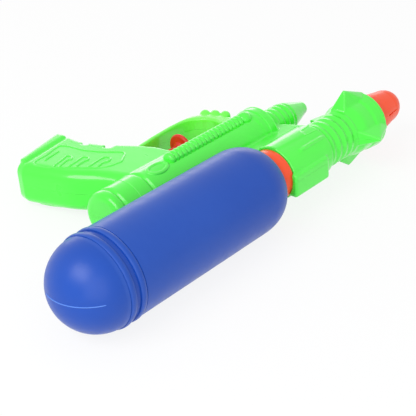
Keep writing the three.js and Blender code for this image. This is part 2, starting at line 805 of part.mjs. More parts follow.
// Return spring: one coiled wire between the pump floor and the piston
const springStart = PUMP_FLOOR + SPRING_WIRE + PUSH_GAP;
const springEnd = PISTON_START - SPRING_WIRE - PUSH_GAP;
const springPitch = (springEnd - springStart) / SPRING_TURNS;
const springLine = new Helix(springStart, springPitch, SPRING_TURNS, SPRING_RADIUS);
const springGap = springPitch - 2 * SPRING_WIRE;
console.log(`spring: least gap between neighbouring turns ${springGap.toFixed(2)} mm`);
const returnSpring = solid(coil(springLine, SPRING_WIRE, 5, 8).translate(0, PUMP_DROP, 0));

// Check valve: body on the pump port, plug above it, loose ball between
function valveBody(side) {
  return turnedUpright([
    [VALVE_FOOT, SPIGOT_RADIUS + PUSH_GAP],
    [VALVE_FOOT, VALVE_RADIUS],
    [VALVE_TOP, VALVE_RADIUS],
    [VALVE_TOP, VALVE_CHAMBER],
    [VALVE_SEAT, VALVE_CHAMBER],
    [VALVE_SEAT, VALVE_WAY],
    [PORT_TOP - PUSH_GAP, VALVE_WAY],
    [PORT_TOP - PUSH_GAP, SPIGOT_RADIUS + PUSH_GAP],
    [VALVE_FOOT, SPIGOT_RADIUS + PUSH_GAP],
  ], PORT_X, side * PORT_OUT, 14);
}

function valvePlug(side) {
  return turnedUpright([
    [VALVE_PLUG_END, VALVE_WAY],
    [VALVE_PLUG_END, VALVE_CHAMBER - PUSH_GAP],
    [VALVE_TOP - PUSH_GAP, VALVE_CHAMBER - PUSH_GAP],
    [VALVE_TOP - PUSH_GAP, VALVE_RADIUS],
    [VALVE_TOP - 1.8, VALVE_RADIUS],
    [VALVE_TOP - 1.8, SPIGOT_RADIUS],
    [VALVE_SPIGOT_END, SPIGOT_RADIUS],
    [VALVE_SPIGOT_END, SPIGOT_BORE],
    [VALVE_TOP - 2, SPIGOT_BORE],
    [VALVE_PLUG_END, VALVE_WAY],
  ], PORT_X, side * PORT_OUT, 14);
}

const BALL_REST = Math.sqrt(BALL_RADIUS ** 2 - VALVE_WAY ** 2) + PUSH_GAP;
function valveBall(drop, side) {
  const geometry = new THREE.SphereGeometry(BALL_RADIUS, 10, 6);
  geometry.translate(PORT_X, drop, side * PORT_OUT);
  return solid(geometry);
}

const HOSE_LEVEL = 34.9;
const HOSE_FOOT = VALVE_TOP - 1.8 - PUSH_GAP;
const inletHose = hose([
  [ELBOW_X, 5, 0],
  [ELBOW_X, 13, 0],
  [ELBOW_X - 0.3, 22, 0],
  [ELBOW_X - 3.5, 30, 0.2],
  [ELBOW_X - 12.5, HOSE_LEVEL, 2.4],
  [112, HOSE_LEVEL, PORT_OUT],
  [80, HOSE_LEVEL, PORT_OUT],
  [73.6, HOSE_LEVEL + 0.2, PORT_OUT],
  [PORT_X + 1.3, HOSE_LEVEL + 2, PORT_OUT],
  [PORT_X, HOSE_LEVEL + 5.2, PORT_OUT],
  [PORT_X, HOSE_FOOT, PORT_OUT],
], 24);
const outletHose = hose([
  [PORT_X, HOSE_FOOT, -PORT_OUT],
  [PORT_X, HOSE_LEVEL + 5.2, -PORT_OUT],
  [PORT_X + 1.3, HOSE_LEVEL + 2, -PORT_OUT],
  [73.6, HOSE_LEVEL + 0.2, -PORT_OUT],
  [80, HOSE_LEVEL, -PORT_OUT],
  [120, HOSE_LEVEL + 0.4, -PORT_OUT],
  [140, 36, -3.4],
  [149, 32, -0.6],
  [153.4, 22, 0],
  [154.6, 13, 0],
  [BARREL_END + 0.6, 4, 0],
  [BARREL_END + 8, 0.6, 0],
  [HOSE_RIB_X + 1, 0, 0],
  [NOZZLE_REAR - 4, 0, 0],
  [HOSE_END, 0, 0],
], 36);

function screw(x, y) {
  const shank = barAlongZ(-SCREW_SEAT_DEPTH - 1, SCREW_REACH, SCREW_SHANK, x, y, 8);
  const top = -SCREW_SEAT_DEPTH - PUSH_GAP;
  const head = barAlongZ(top - SCREW_HEAD_HEIGHT, top, SCREW_HEAD, x, y);
  const slots = [[1.9, 0.35], [0.35, 1.9]].map(([a, b]) => (
    block(x - a, x + a, y - b, y + b, top - SCREW_HEAD_HEIGHT - 1, top - 1)
  ));
  return cut(join([shank, head]), slots);
}

// Assembly
const plastic = (colour, roughness) => ({ color: colour, roughness, metalness: 0 });
const GREEN = plastic(0x4fe23c, 0.35);
const BLUE = plastic(0x2f57c2, 0.3);
const ORANGE = plastic(0xff5a30, 0.35);
const RED = plastic(0xc2301c, 0.35);
const GREY = plastic(0x8f9499, 0.55);
const CLEAR = plastic(0xd8dde0, 0.4);
const RUBBER = plastic(0x26282b, 0.8);
const STEEL = { color: 0xb4b8bc, roughness: 0.35, metalness: 1 };

const toy = new THREE.Group();
toy.name = 'water_squirter';
const lying = new THREE.Group();
lying.name = 'lying_toy';
toy.add(lying);

function place(name, body, look) {
  const mesh = new THREE.Mesh(geometryOf(body), new THREE.MeshStandardMaterial(look));
  mesh.name = name;
  lying.add(mesh);
}

place('left_body_shell', leftBodyShell, GREEN);
place('right_body_shell', rightBodyShell, GREEN);
place('water_tank', waterTank, BLUE);
place('tank_seal', tankSeal, RUBBER);
place('tank_socket', tankSocket, ORANGE);
place('dip_tube', dipTube, CLEAR);
place('nozzle_tip', nozzleTip, ORANGE);
place('nozzle_jet', nozzleJet, GREY);
place('trigger', trigger, RED);
place('pump_piston', piston, GREY);
place('piston_seal', pistonSeal, RUBBER);
place('pump_cylinder', pumpCylinder, GREY);
place('return_spring', returnSpring, STEEL);
place('inlet_valve_body', valveBody(1), GREY);
place('inlet_valve_plug', valvePlug(1), GREY);
place('inlet_valve_ball', valveBall(VALVE_PLUG_END + BALL_REST, 1), STEEL);
place('outlet_valve_body', valveBody(-1), GREY);
place('outlet_valve_plug', valvePlug(-1), GREY);
place('outlet_valve_ball', valveBall(VALVE_SEAT - BALL_REST, -1), STEEL);
place('inlet_hose', inletHose, CLEAR);
place('outlet_hose', outletHose, CLEAR);
SCREW_SPOTS.forEach(([x, y], i) => place(`shell_screw_${i + 1}`, screw(x, y), STEEL));

// Rest on the table: the tank's bead and the butt's right edge touch it
const buttReach = Math.hypot(BUTT_DROP, BUTT_HALF);
const restRoll = Math.asin(BEAD_RADIUS / buttReach) - Math.atan2(BUTT_HALF, BUTT_DROP);
lying.rotation.x = -restRoll;
toy.updateMatrixWorld(true);
const box = new THREE.Box3().setFromObject(toy, true);
lying.position.set(-(box.min.x + box.max.x) / 2, -(box.min.y + box.max.y) / 2, -box.min.z);
toy.updateMatrixWorld(true);

export default toy;
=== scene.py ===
"""Looks of a toy water pistol with a bottle tank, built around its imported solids.

Shapes are modelled in local millimetres: x runs forward along the tank, y down to the butt and z out of
the left side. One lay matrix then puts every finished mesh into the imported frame, in metres.
"""

import json
import logging
import math
from dataclasses import dataclass, field
from enum import Enum
from typing import Sequence

import bmesh
import bpy
from mathutils import Matrix, Vector
from mathutils.bvhtree import BVHTree


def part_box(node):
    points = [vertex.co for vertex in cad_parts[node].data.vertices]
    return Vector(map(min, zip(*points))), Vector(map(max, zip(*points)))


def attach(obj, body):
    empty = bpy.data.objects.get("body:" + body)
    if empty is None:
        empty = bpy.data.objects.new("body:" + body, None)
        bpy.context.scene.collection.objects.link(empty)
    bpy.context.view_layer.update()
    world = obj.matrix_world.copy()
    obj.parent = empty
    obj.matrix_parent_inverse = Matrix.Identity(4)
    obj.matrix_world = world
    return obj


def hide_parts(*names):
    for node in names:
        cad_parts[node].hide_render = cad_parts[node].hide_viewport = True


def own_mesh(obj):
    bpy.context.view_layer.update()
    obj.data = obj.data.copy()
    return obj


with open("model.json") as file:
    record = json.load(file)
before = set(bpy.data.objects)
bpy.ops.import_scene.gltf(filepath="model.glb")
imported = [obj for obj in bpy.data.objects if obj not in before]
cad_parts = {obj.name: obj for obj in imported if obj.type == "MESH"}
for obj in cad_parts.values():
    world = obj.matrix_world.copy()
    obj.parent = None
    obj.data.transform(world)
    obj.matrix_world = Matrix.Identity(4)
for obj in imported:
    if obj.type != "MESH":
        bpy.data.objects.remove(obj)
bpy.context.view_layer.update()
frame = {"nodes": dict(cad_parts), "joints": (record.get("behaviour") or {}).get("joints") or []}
LOG = logging.getLogger("water_squirter")

Flat = Sequence[tuple[float, float]]
Colour = tuple[float, float, float]
Place = tuple[float, float, float]

MILLIMETRE = 0.001
QUARTER_TURN = math.pi / 2
THREAD_PITCH = 4.0
PUMP_DROP = 65.0


class Body(Enum):
    """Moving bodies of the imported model."""

    SHELL = "body"
    TRIGGER = "trigger"
    TANK = "tank"


class Slot(Enum):
    """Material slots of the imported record."""

    GREEN = "green_shell"
    BLUE = "blue_tank"
    ORANGE = "orange_plastic"
    RED = "red_plastic"
    GREY = "grey_plastic"
    CLEAR = "clear_hose"
    RUBBER = "black_rubber"
    STEEL = "steel"


class Side(Enum):
    """Sides of the toy along local z."""

    LEFT = 1
    RIGHT = -1


def smooth_path(stops: Sequence[Sequence[float]], per_span: int = 6, closed: bool = False) -> list[Vector]:
    """Runs a smooth line through a few stops.

    Args:
        stops: Points of the line, in two or three dimensions.
        per_span: Number of points made for each span.
        closed: Whether the line returns to its first stop.

    Returns:
        The points of the smooth line.
    """
    marks = [Vector(stop) for stop in stops]
    count = len(marks)

    def mark(index: int) -> Vector:
        """Gives a stop, past the ends too."""
        return marks[index % count] if closed else marks[min(max(index, 0), count - 1)]

    path = []
    for i in range(count if closed else count - 1):
        a, b, c, d = (mark(i + k) for k in (-1, 0, 1, 2))
        for k in range(per_span):
            t = k / per_span
            bend = (2 * a - 5 * b + 4 * c - d) * t * t + (3 * b - a - 3 * c + d) * t**3
            path.append((2 * b + (c - a) * t + bend) / 2)
    return path if closed else path + [marks[-1]]


def straight(start: Place, run: Place, spans: int) -> list[Vector]:
    """Gives the points of a straight line with a given run."""
    return [Vector([a + b * i / spans for a, b in zip(start, run)]) for i in range(spans + 1)]


def arc(centre: float, radius: float, start: float, end: float, steps: int) -> list[tuple[float, float]]:
    """Makes an arc of a profile about a centre on the axis.

    Args:
        centre: Place of the centre along the axis.
        radius: Radius of the arc.
        start: First angle in degrees.
        end: Last angle in degrees.
        steps: Number of spans.

    Returns:
        Pairs of place and radius, with the ends on the axis set to zero.
    """
    angles = [math.radians(start + (end - start) * i / steps) for i in range(steps + 1)]
    on_axis = 1e-9
    return [
        (centre + radius * math.cos(a), max(radius * math.sin(a), 0.0) if abs(math.sin(a)) > on_axis else 0.0)
        for a in angles
    ]


def rings(start: float, end: float, count: int, root: float, crest: float, spans: int = 8,
          power: float = 0.7) -> list[tuple[float, float]]:
    """Makes the profile of a row of round rings.

    Args:
        start: Place of the first root.
        end: Place of the last root.
        count: Number of rings.
        root: Radius between rings.
        crest: Radius on the rings.
        spans: Profile spans for each ring.
        power: Fullness of the rings; a small one gives narrow roots.

    Returns:
        Pairs of place and radius.
    """
    total = count * spans
    return [
        (start + (end - start) * i / total, root + (crest - root) * abs(math.sin(math.pi * i / spans)) ** power)
        for i in range(total + 1)
    ]


def shown(name: str, data: bpy.types.ID) -> bpy.types.Object:
    """Makes an object of a mesh, lamp or lens and puts it in the scene.

    Args:
        name: Name of the object.
        data: Its mesh, lamp or lens.

    Returns:
        The new object.
    """
    made = bpy.data.objects.new(name, data)
    bpy.context.scene.collection.objects.link(made)
    return made


@dataclass(frozen=True)
class Lay:
    """Place of the toy on the table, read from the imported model.

    Attributes:
        seal_start: Local place of the tank seal's rear face.
    """

    seal_start: float = 114.7

    def matrix(self) -> Matrix:
        """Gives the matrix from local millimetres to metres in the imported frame.

        Returns:
            The lay matrix.
        """
        low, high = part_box("tank_seal")
        lift = next(joint for joint in frame["joints"] if joint["name"] == "inlet_ball_lift")
        _, along, down = lift["axis"]
        turn = Matrix(((1, 0, 0), (0, along, -down), (0, down, along))).to_4x4()
        middle = (low + high) / 2
        place = Matrix.Translation((low.x - MILLIMETRE * self.seal_start, middle.y, middle.z))
        return place @ turn @ Matrix.Scale(MILLIMETRE, 4)


class Form:
    """A mesh in the making, in local millimetres.

    Attributes:
        WELD: Distance under which vertices are merged.
        SLIVER: Length under which an edge is dissolved.
        LEVEL: Height under which an edge counts as level.
        ROD_ENDS: Shares of a rod's radius at its end and one step before it.
    """

    WELD = 1e-4
    SLIVER = 1e-5
    LEVEL = 1e-6
    ROD_ENDS = (0.45, 0.85)

    def __init__(self) -> None:
        """Starts an empty form."""
        self.bm = bmesh.new()

    def take(self, part: bmesh.types.BMesh, place: Matrix | None = None) -> "Form":
        """Cleans a part and adds it to the form.

        Args:
            part: The part, which is used up.
            place: Matrix that moves the part first.

        Returns:
            The form itself.
        """
        bmesh.ops.remove_doubles(part, verts=part.verts[:], dist=self.WELD)
        bmesh.ops.dissolve_degenerate(part, edges=part.edges[:], dist=self.SLIVER)
        if place is not None:
            bmesh.ops.transform(part, matrix=place, verts=part.verts[:])
        bmesh.ops.recalc_face_normals(part, faces=part.faces[:])
        held = bpy.data.meshes.new("held")
        part.to_mesh(held)
        part.free()
        self.bm.from_mesh(held)
        bpy.data.meshes.remove(held)
        return self

    @staticmethod
    def soften(part: bmesh.types.BMesh, geom: Sequence[object], size: float, affect: str, segments: int) -> None:
        """Rounds corners or edges of a part by a size."""
        bmesh.ops.bevel(part, geom=geom, offset=size, affect=affect, segments=segments, profile=0.5, material=-1)

    @staticmethod
    def loop(part: bmesh.types.BMesh, sides: int, radius: float, place: Matrix) -> tuple[list, list]:
        """Adds a round loop to a part and gives its vertices and its edges, in order."""
        verts = bmesh.ops.create_circle(part, segments=sides, radius=radius, matrix=place)["verts"]
        return verts, list(dict.fromkeys(edge for vert in verts for edge in vert.link_edges))

    def turned(self, profile: Flat, drop: float = 0.0, side: float = 0.0, steps: int = 96, soften: float = 0.0,
               place: Matrix | None = None) -> "Form":
        """Turns a profile about a line along x.

        Args:
            profile: Pairs of place and radius; it is closed where its last pair is its first.
            drop: Local y of the line.
            side: Local z of the line.
            steps: Facets of a full turn.
            soften: Size by which the profile's corners are rounded.
            place: Matrix that moves the turned part.

        Returns:
            The form itself.
        """
        part = bmesh.new()
        ring = profile[0] == profile[-1]
        verts = [part.verts.new((x, drop + r, side)) for x, r in (profile[:-1] if ring else profile)]
        for a, b in zip(verts, verts[1:] + (verts[:1] if ring else [])):
            part.edges.new((a, b))
        if soften:
            self.soften(part, verts if ring else verts[1:-1], soften, "VERTICES", 3)
        bmesh.ops.spin(part, geom=part.verts[:] + part.edges[:], cent=(0, drop, side), axis=(1, 0, 0),
                       angle=math.tau, steps=steps, use_merge=True)
        return self.take(part, place)

    def bar(self, start: float, end: float, radius: float, drop: float = 0.0, side: float = 0.0,
            steps: int = 64) -> "Form":
        """Adds a plain bar along x, mostly as a tool that cuts a bore."""
        return self.turned([(start, 0), (start, radius), (end, radius), (end, 0)], drop, side, steps)

    def hoop(self, start: float, end: float, inner: float, outer: float, steps: int = 64) -> "Form":
        """Adds a plain hoop about the tank axis."""
        section = [(start, inner), (start, outer), (end, outer), (end, inner), (start, inner)]
        return self.turned(section, steps=steps)

    def post(self, x: float, drop: float, low: float, high: float, radius: float, steps: int = 32) -> "Form":
        """Adds a plain post along z, mostly as a tool that cuts a hole.

        Args:
            x: Local x of the post.
            drop: Local y of the post.
            low: Local z of its low end.
            high: Local z of its high end.
            radius: Radius of the post.
            steps: Facets of its section.

        Returns:
            The form itself.
        """
        part = bmesh.new()
        middle = Matrix.Translation((x, drop, (low + high) / 2))
        bmesh.ops.create_cone(part, cap_ends=True, segments=steps, radius1=radius, radius2=radius,
                              depth=high - low, matrix=middle)
        return self.take(part)

    def plate(self, outline: Sequence[Sequence[float]], half: float, soften: float = 0.0, segments: int = 4,
              middle: float = 0.0) -> "Form":
        """Raises a flat outline to a plate.

        Args:
            outline: Points of the outline in local x and y.
            half: Half of the thickness.
            soften: Size by which the rims are rounded.
            segments: Spans of that rounding.
            middle: Local z of the plate's middle.

        Returns:
            The form itself.
        """
        part = bmesh.new()
        face = part.faces.new([part.verts.new((p[0], p[1], middle - half)) for p in outline])
        grown = bmesh.ops.extrude_face_region(part, geom=[face])["geom"]
        bmesh.ops.translate(part, vec=(0, 0, 2 * half),
                            verts=[v for v in grown if isinstance(v, bmesh.types.BMVert)])
        if soften:
            rims = [e for e in part.edges if abs(e.verts[0].co.z - e.verts[1].co.z) < self.LEVEL]
            self.soften(part, rims, soften, "EDGES", segments)
        return self.take(part)

    def block(self, low: Sequence[float], high: Sequence[float], soften: float = 0.0) -> "Form":
        """Adds a block between two corners, its edges rounded by the given size.

        Args:
            low: The low corner.
            high: The high corner.
            soften: Size by which its edges are rounded.

        Returns:
            The form itself.
        """
        part = bmesh.new()
        size = Vector(high) - Vector(low)
        middle = (Vector(high) + Vector(low)) / 2
        bmesh.ops.create_cube(part, size=1, matrix=Matrix.Translation(middle) @ Matrix.Diagonal(size).to_4x4())
        if soften:
            self.soften(part, part.edges[:], soften, "EDGES", 4)
        return self.take(part)

    def wedge(self, corners: Sequence[Sequence[float]], place: Matrix | None = None) -> "Form":
        """Adds the convex body round a few corners.

        Args:
            corners: The corners.
            place: Matrix that moves the body.

        Returns:
            The form itself.
        """
        part = bmesh.new()
        verts = [part.verts.new(corner) for corner in corners]
        bmesh.ops.convex_hull(part, input=verts)
        return self.take(part, place)

    def rod(self, path: Sequence[Vector], radius: float, sides: int = 10, closed: bool = False) -> "Form":
        """Sweeps a round line along a path, with rounded ends.

        Args:
            path: Points in three dimensions.
            radius: Radius of the line.
            sides: Facets of its section.
            closed: Whether the path returns to its start.

        Returns:
            The form itself.
        """
        part = bmesh.new()
        count = len(path)
        loops = []
        for i, point in enumerate(path):
            ahead = path[(i + 1) % count] if closed or i + 1 < count else point
            behind = path[i - 1] if closed or i else point
            turn = (ahead - behind).to_track_quat("Z", "Y").to_matrix().to_4x4()
            end = min(i, count - 1 - i)
            share = 1.0 if closed or end >= len(self.ROD_ENDS) else self.ROD_ENDS[end]
            loops.append(self.loop(part, sides, radius * share, Matrix.Translation(point) @ turn)[1])
        pairs = list(zip(loops, loops[1:])) + ([(loops[-1], loops[0])] if closed else [])
        for a, b in pairs:
            bmesh.ops.bridge_loops(part, edges=a + b)
        if not closed:
            for loop in (loops[0], loops[-1]):
                bmesh.ops.edgeloop_fill(part, edges=loop)
        return self.take(part)

    def thread(self, start: float, turns: float, radius: float, wire: float, sides: int = 8,
               per_turn: int = 48) -> "Form":
        """Winds a round thread about the tank axis.

        Args:
            start: Place of the thread's start; its phase follows from the place.
            turns: Number of turns.
            radius: Radius of the thread's middle line.
            wire: Radius of its section.
            sides: Facets of its section.
            per_turn: Steps of each turn.

        Returns:
            The form itself.
        """
        part = bmesh.new()
        phase = Matrix.Rotation(math.tau * start / THREAD_PITCH, 4, "X")
        place = phase @ Matrix.Translation((start, radius, 0))
        verts, first = self.loop(part, sides, wire, place)
        steps = round(turns * per_turn)
        swept = bmesh.ops.spin(part, geom=verts + first, cent=(0, 0, 0), axis=(1, 0, 0),
                               dvec=(THREAD_PITCH / per_turn, 0, 0), angle=math.tau * turns, steps=steps)
        last = [piece for piece in swept["geom_last"] if isinstance(piece, bmesh.types.BMEdge)]
        for loop in (first, last):
            bmesh.ops.edgeloop_fill(part, edges=loop)
        return self.take(part)

    def mirrored(self) -> "Form":
        """Adds the form's own image on the other side of the parting plane."""
        part = self.bm.copy()
        return self.take(part, Matrix.Diagonal((1, 1, -1, 1)))

    def mesh(self) -> bpy.types.Mesh:
        """Turns the form into a mesh and frees it.

        Returns:
            The mesh, in local millimetres.
        """
        made = bpy.data.meshes.new("loose")
        self.bm.to_mesh(made)
        self.bm.free()
        return made


@dataclass(frozen=True)
class Step:
    """One step of workshop treatment.

    Attributes:
        kind: Type of the modifier.
        settings: Its values.
        tool: Mesh that it works with, if any.
    """

    kind: str
    settings: dict[str, object]
    tool: bpy.types.Mesh | None = None


class Workshop:
    """Treats loose meshes with modifiers."""

    @staticmethod
    def boolean(operation: str, tool: bpy.types.Mesh) -> Step:
        """Gives a step that works on a mesh with a tool's body."""
        return Step("BOOLEAN", {"operation": operation, "solver": "MANIFOLD"}, tool)

    @classmethod
    def cut(cls, tool: bpy.types.Mesh) -> Step:
        """Gives the step that takes a tool's body away."""
        return cls.boolean("DIFFERENCE", tool)

    @classmethod
    def join(cls, tool: bpy.types.Mesh) -> Step:
        """Gives the step that adds a tool's body."""
        return cls.boolean("UNION", tool)

    @classmethod
    def common(cls, tool: bpy.types.Mesh) -> Step:
        """Gives the step that keeps only what lies in a tool's body."""
        return cls.boolean("INTERSECT", tool)

    @staticmethod
    def run(mesh: bpy.types.Mesh, steps: Sequence[Step]) -> bpy.types.Mesh:
        """Runs steps on a mesh.

        Args:
            mesh: The mesh, which is left as it is.
            steps: The steps in order.

        Returns:
            A new mesh with the steps applied.
        """
        worked = shown("worked", mesh)
        helpers = []
        for step in steps:
            modifier = worked.modifiers.new(step.kind.lower(), step.kind)
            for key, value in step.settings.items():
                setattr(modifier, key, value)
            if step.tool is not None:
                modifier.object = shown("helper", step.tool)
                helpers.append(modifier.object)
        bpy.context.view_layer.update()
        done = bpy.data.meshes.new_from_object(worked.evaluated_get(bpy.context.evaluated_depsgraph_get()))
        for helper in [worked, *helpers]:
            bpy.data.objects.remove(helper)
        return done


@dataclass(frozen=True)
class Wire:
    """One output socket of a material, with arithmetic that adds math nodes.

    Attributes:
        graph: The node graph that the socket belongs to.
        socket: The socket itself.
    """

    graph: "Graph"
    socket: bpy.types.NodeSocket

    def _math(self, kind: str, first: "Wire | float", second: "Wire | float") -> "Wire":
        """Adds one math node."""
        return self.graph.wire("ShaderNodeMath", {"operation": kind}, {0: first, 1: second})

    def __add__(self, other: "Wire | float") -> "Wire":
        """Adds."""
        return self._math("ADD", self, other)

    def __radd__(self, other: float) -> "Wire":
        """Adds to a number."""
        return self._math("ADD", other, self)

    def __sub__(self, other: "Wire | float") -> "Wire":
        """Subtracts."""
        return self._math("SUBTRACT", self, other)

    def __rsub__(self, other: float) -> "Wire":
        """Subtracts from a number."""
        return self._math("SUBTRACT", other, self)

    def __mul__(self, other: "Wire | float") -> "Wire":
        """Multiplies."""
        return self._math("MULTIPLY", self, other)

    def __rmul__(self, other: float) -> "Wire":
        """Multiplies a number."""
        return self._math("MULTIPLY", other, self)


class Graph:
    """The node graph of one material or of the world."""

    def __init__(self, tree: bpy.types.NodeTree) -> None:
        """Empties a node tree and takes it over."""
        self.tree = tree
        tree.nodes.clear()

    def node(self, kind: str, settings: dict[str, object] | None = None,
             inputs: dict[str | int, object] | None = None) -> bpy.types.Node:
        """Creates any node.

        Args:
            kind: Node type.
            settings: Values of the node itself, set first.
            inputs: Values or wires for its inputs, by name or index.

        Returns:
            The node.
        """
        made = self.tree.nodes.new(kind)
        for key, value in (settings or {}).items():
            setattr(made, key, value)
        for key, value in (inputs or {}).items():
            if isinstance(value, Wire):
                self.tree.links.new(value.socket, made.inputs[key])
            else:
                made.inputs[key].default_value = value
        return made

    def wire(self, kind: str, settings: dict[str, object] | None = None,
             inputs: dict[str | int, object] | None = None, output: str | int = 0) -> Wire:
        """Creates a node and gives one of its outputs."""
        return Wire(self, self.node(kind, settings, inputs).outputs[output])

    def place(self) -> Wire:
        """Gives the piece's own coordinates, in metres."""
        return self.wire("ShaderNodeTexCoord", output="Object")

    def noise(self, place: Wire, scale: float, detail: float = 2.0, stretch: Place | None = None) -> Wire:
        """Gives a noise value.

        Args:
            place: Coordinates.
            scale: Waves for each metre.
            detail: Finer layers.
            stretch: Factors along the axes.

        Returns:
            A value about one half.
        """
        if stretch is not None:
            place = self.wire("ShaderNodeMapping", None, {"Vector": place, "Scale": stretch})
        return self.wire("ShaderNodeTexNoise", None, {"Vector": place, "Scale": scale, "Detail": detail}, "Fac")

    def span(self, value: Wire, low: float, high: float, to_low: float, to_high: float) -> Wire:
        """Maps a value from one span to another and holds it there."""
        return self.wire("ShaderNodeMapRange", {"clamp": True}, {
            "Value": value, "From Min": low, "From Max": high, "To Min": to_low, "To Max": to_high})

    def mix(self, share: Wire, first: Wire | Colour, second: Wire | Colour) -> Wire:
        """Mixes two colours."""
        a, b = ((*c, 1.0) if isinstance(c, tuple) else c for c in (first, second))
        return self.wire("ShaderNodeMix", {"data_type": "RGBA"}, {0: share, 6: a, 7: b}, 2)

    def bump(self, height: Wire, strength: float, depth: float, under: Wire | None = None) -> Wire:
        """Turns a height into a normal.

        Args:
            height: The height.
            strength: Share of the effect.
            depth: Depth in metres.
            under: Normal of a coarser bump below.

        Returns:
            The normal.
        """
        inputs: dict[str | int, object] = {"Height": height, "Strength": strength, "Distance": depth}
        if under is not None:
            inputs["Normal"] = under
        return self.wire("ShaderNodeBump", None, inputs, "Normal")

    def pointiness(self) -> Wire:
        """Gives how far the surface stands out, about one half where it is flat."""
        return self.wire("ShaderNodeNewGeometry", output="Pointiness")

    def background_rays(self) -> Wire:
        """Gives one for rays that show the background, and zero for rays that light the toy.

        Returns:
            A value of one or zero.
        """
        rays = self.node("ShaderNodeLightPath").outputs
        kinds = ("Is Camera Ray", "Is Glossy Ray", "Is Transmission Ray")
        camera, glossy, through = (Wire(self, rays[kind]) for kind in kinds)
        return camera + glossy + through

    def output(self, shader: Wire) -> None:
        """Sends a shader to the surface output."""
        self.node("ShaderNodeOutputMaterial", None, {"Surface": shader})


@dataclass(frozen=True)
class Finish:
    """A surface finish that makes its material once.

    Attributes:
        slot: The record's slot.
        base: Main colour, linear.
        label: What tells this finish from others of its slot.
    """

    slot: Slot
    base: Colour
    label: str = "look"

    def material(self) -> bpy.types.Material:
        """Gives the finish's material and makes it at first use.

        Returns:
            The material.
        """
        name = f"{self.slot.value}_{self.label}"
        found = bpy.data.materials.get(name)
        if found is None:
            found = bpy.data.materials.new(name)
            found.use_nodes = True
            graph = Graph(found.node_tree)
            graph.output(self.shade(graph))
        return found

    def shade(self, graph: Graph) -> Wire:
        """Builds the finish's nodes."""
        raise NotImplementedError


@dataclass(frozen=True)
class MouldedPlastic(Finish):
    """Injection moulded plastic with flow clouds, edge wear that also paints highlights along edges, painted shade
    in creases and a fine mould grain.

    Attributes:
        cloud_and_crease_shade: Darker colour of the flow clouds, and painted shade in hollows and creases, linear.
        pale: Colour of scuffed edge wear, which also paints highlights along edges and crests, linear.
        smooth: Lowest roughness.
        dull: Highest roughness.
        coat: Share of clear gloss.
        cloud: Flow clouds for each metre.
        sink: Sink marks for each metre.
        scuff: Scuffs for each metre.
        scuff_run: How the scuffs stretch along the axes.
        grain: Grains of the mould for each metre.
    """

    cloud_and_crease_shade: Colour = (0.0, 0.0, 0.0)
    pale: Colour = (1.0, 1.0, 1.0)
    smooth: float = 0.28
    dull: float = 0.42
    coat: float = 0.15
    cloud: float = 38.0
    sink: float = 70.0
    scuff: float = 210.0
    scuff_run: Place = (1.0, 0.25, 0.6)
    grain: float = 2600.0

    def body(self, graph: Graph, place: Wire) -> Wire | Colour:
        """Gives the colour before clouds and wear."""
        return self.base

    def shade(self, graph: Graph) -> Wire:
        """Builds the plastic's nodes.

        Args:
            graph: The material's node graph.

        Returns:
            The shader.
        """
        place = graph.place()
        cloud = graph.noise(place, self.cloud, 3.0)
        scuff = graph.noise(place, self.scuff, 5.0, self.scuff_run)
        grain = graph.noise(place, self.grain, 2.0)
        sink = graph.noise(place, self.sink, 1.0)
        edge = graph.pointiness()
        body = graph.mix(graph.span(cloud, 0.35, 0.7, 0.0, 0.22), self.body(graph, place), self.cloud_and_crease_shade)
        # Painted shade: the darker colour is mixed in where the surface is hollow, in creases and ring roots.
        hollow = graph.mix(graph.span(edge, 0.42, 0.492, 0.55, 0.0), body, self.cloud_and_crease_shade)
        # Edge wear on scuffed edges, which also paints pale highlights along edges and bead crests.
        wear_and_edge_highlight = graph.span(edge, 0.512, 0.58, 0.0, 0.45) * graph.span(scuff, 0.3, 0.7, 0.5, 1.0)
        colour = graph.mix(wear_and_edge_highlight, hollow, self.pale)
        rough = graph.span(scuff, 0.3, 0.72, self.smooth, self.dull) + 0.06 * (cloud - 0.5)
        swell = graph.bump(sink, 0.12, 0.0006)
        normal = graph.bump(grain, 0.10, 0.00006, swell)
        return graph.wire("ShaderNodeBsdfPrincipled", None, {
            "Base Color": colour, "Roughness": rough, "Normal": normal, "IOR": 1.4,
            "Coat Weight": self.coat, "Coat Roughness": 0.09, "Coat IOR": 1.45})


@dataclass(frozen=True)
class ThinWallPlastic(MouldedPlastic):
    """Moulded plastic with a painted paler glow in the thin loop of the guard, where light comes through.

    Attributes:
        thin: Painted colour of the light that comes through the thin loop, linear.
        loop_x: Span along x over which the loop begins, in metres.
        loop_y: Span along y over which the loop begins, in metres.
    """

    thin: Colour = (1.0, 1.0, 1.0)
    loop_x: tuple[float, float] = (-0.009, -0.003)
    loop_y: tuple[float, float] = (0.0065, 0.0105)

    def body(self, graph: Graph, place: Wire) -> Wire | Colour:
        """Mixes the painted through-light colour in over the loop.

        Args:
            graph: The material's node graph.
            place: Coordinates of the piece.

        Returns:
            The mixed colour.
        """
        parts = graph.node("ShaderNodeSeparateXYZ", None, {"Vector": place})
        share = graph.span(Wire(graph, parts.outputs["X"]), *self.loop_x, 0.0, 1.0)
        share = share * graph.span(Wire(graph, parts.outputs["Y"]), *self.loop_y, 0.0, 1.0)
        return graph.mix(share, self.base, self.thin)


@dataclass(frozen=True)
class BrightSteel(Finish):
    """Turned steel wire, balls and screws."""

    def shade(self, graph: Graph) -> Wire:
        """Builds the steel's nodes.

        Args:
            graph: The material's node graph.

        Returns:
            The shader.
        """
        place = graph.place()
        lines = graph.noise(place, 900.0, 3.0, (1.0, 1.0, 0.1))
        tarnish = graph.noise(place, 160.0, 4.0)
        colour = graph.mix(graph.span(tarnish, 0.45, 0.75, 0.0, 0.4), self.base, (0.32, 0.31, 0.3))
        rough = graph.span(lines, 0.3, 0.7, 0.22, 0.42)
        normal = graph.bump(lines, 0.15, 0.00005)
        return graph.wire("ShaderNodeBsdfPrincipled", None, {
            "Base Color": colour, "Metallic": 1.0, "Roughness": rough, "Normal": normal})


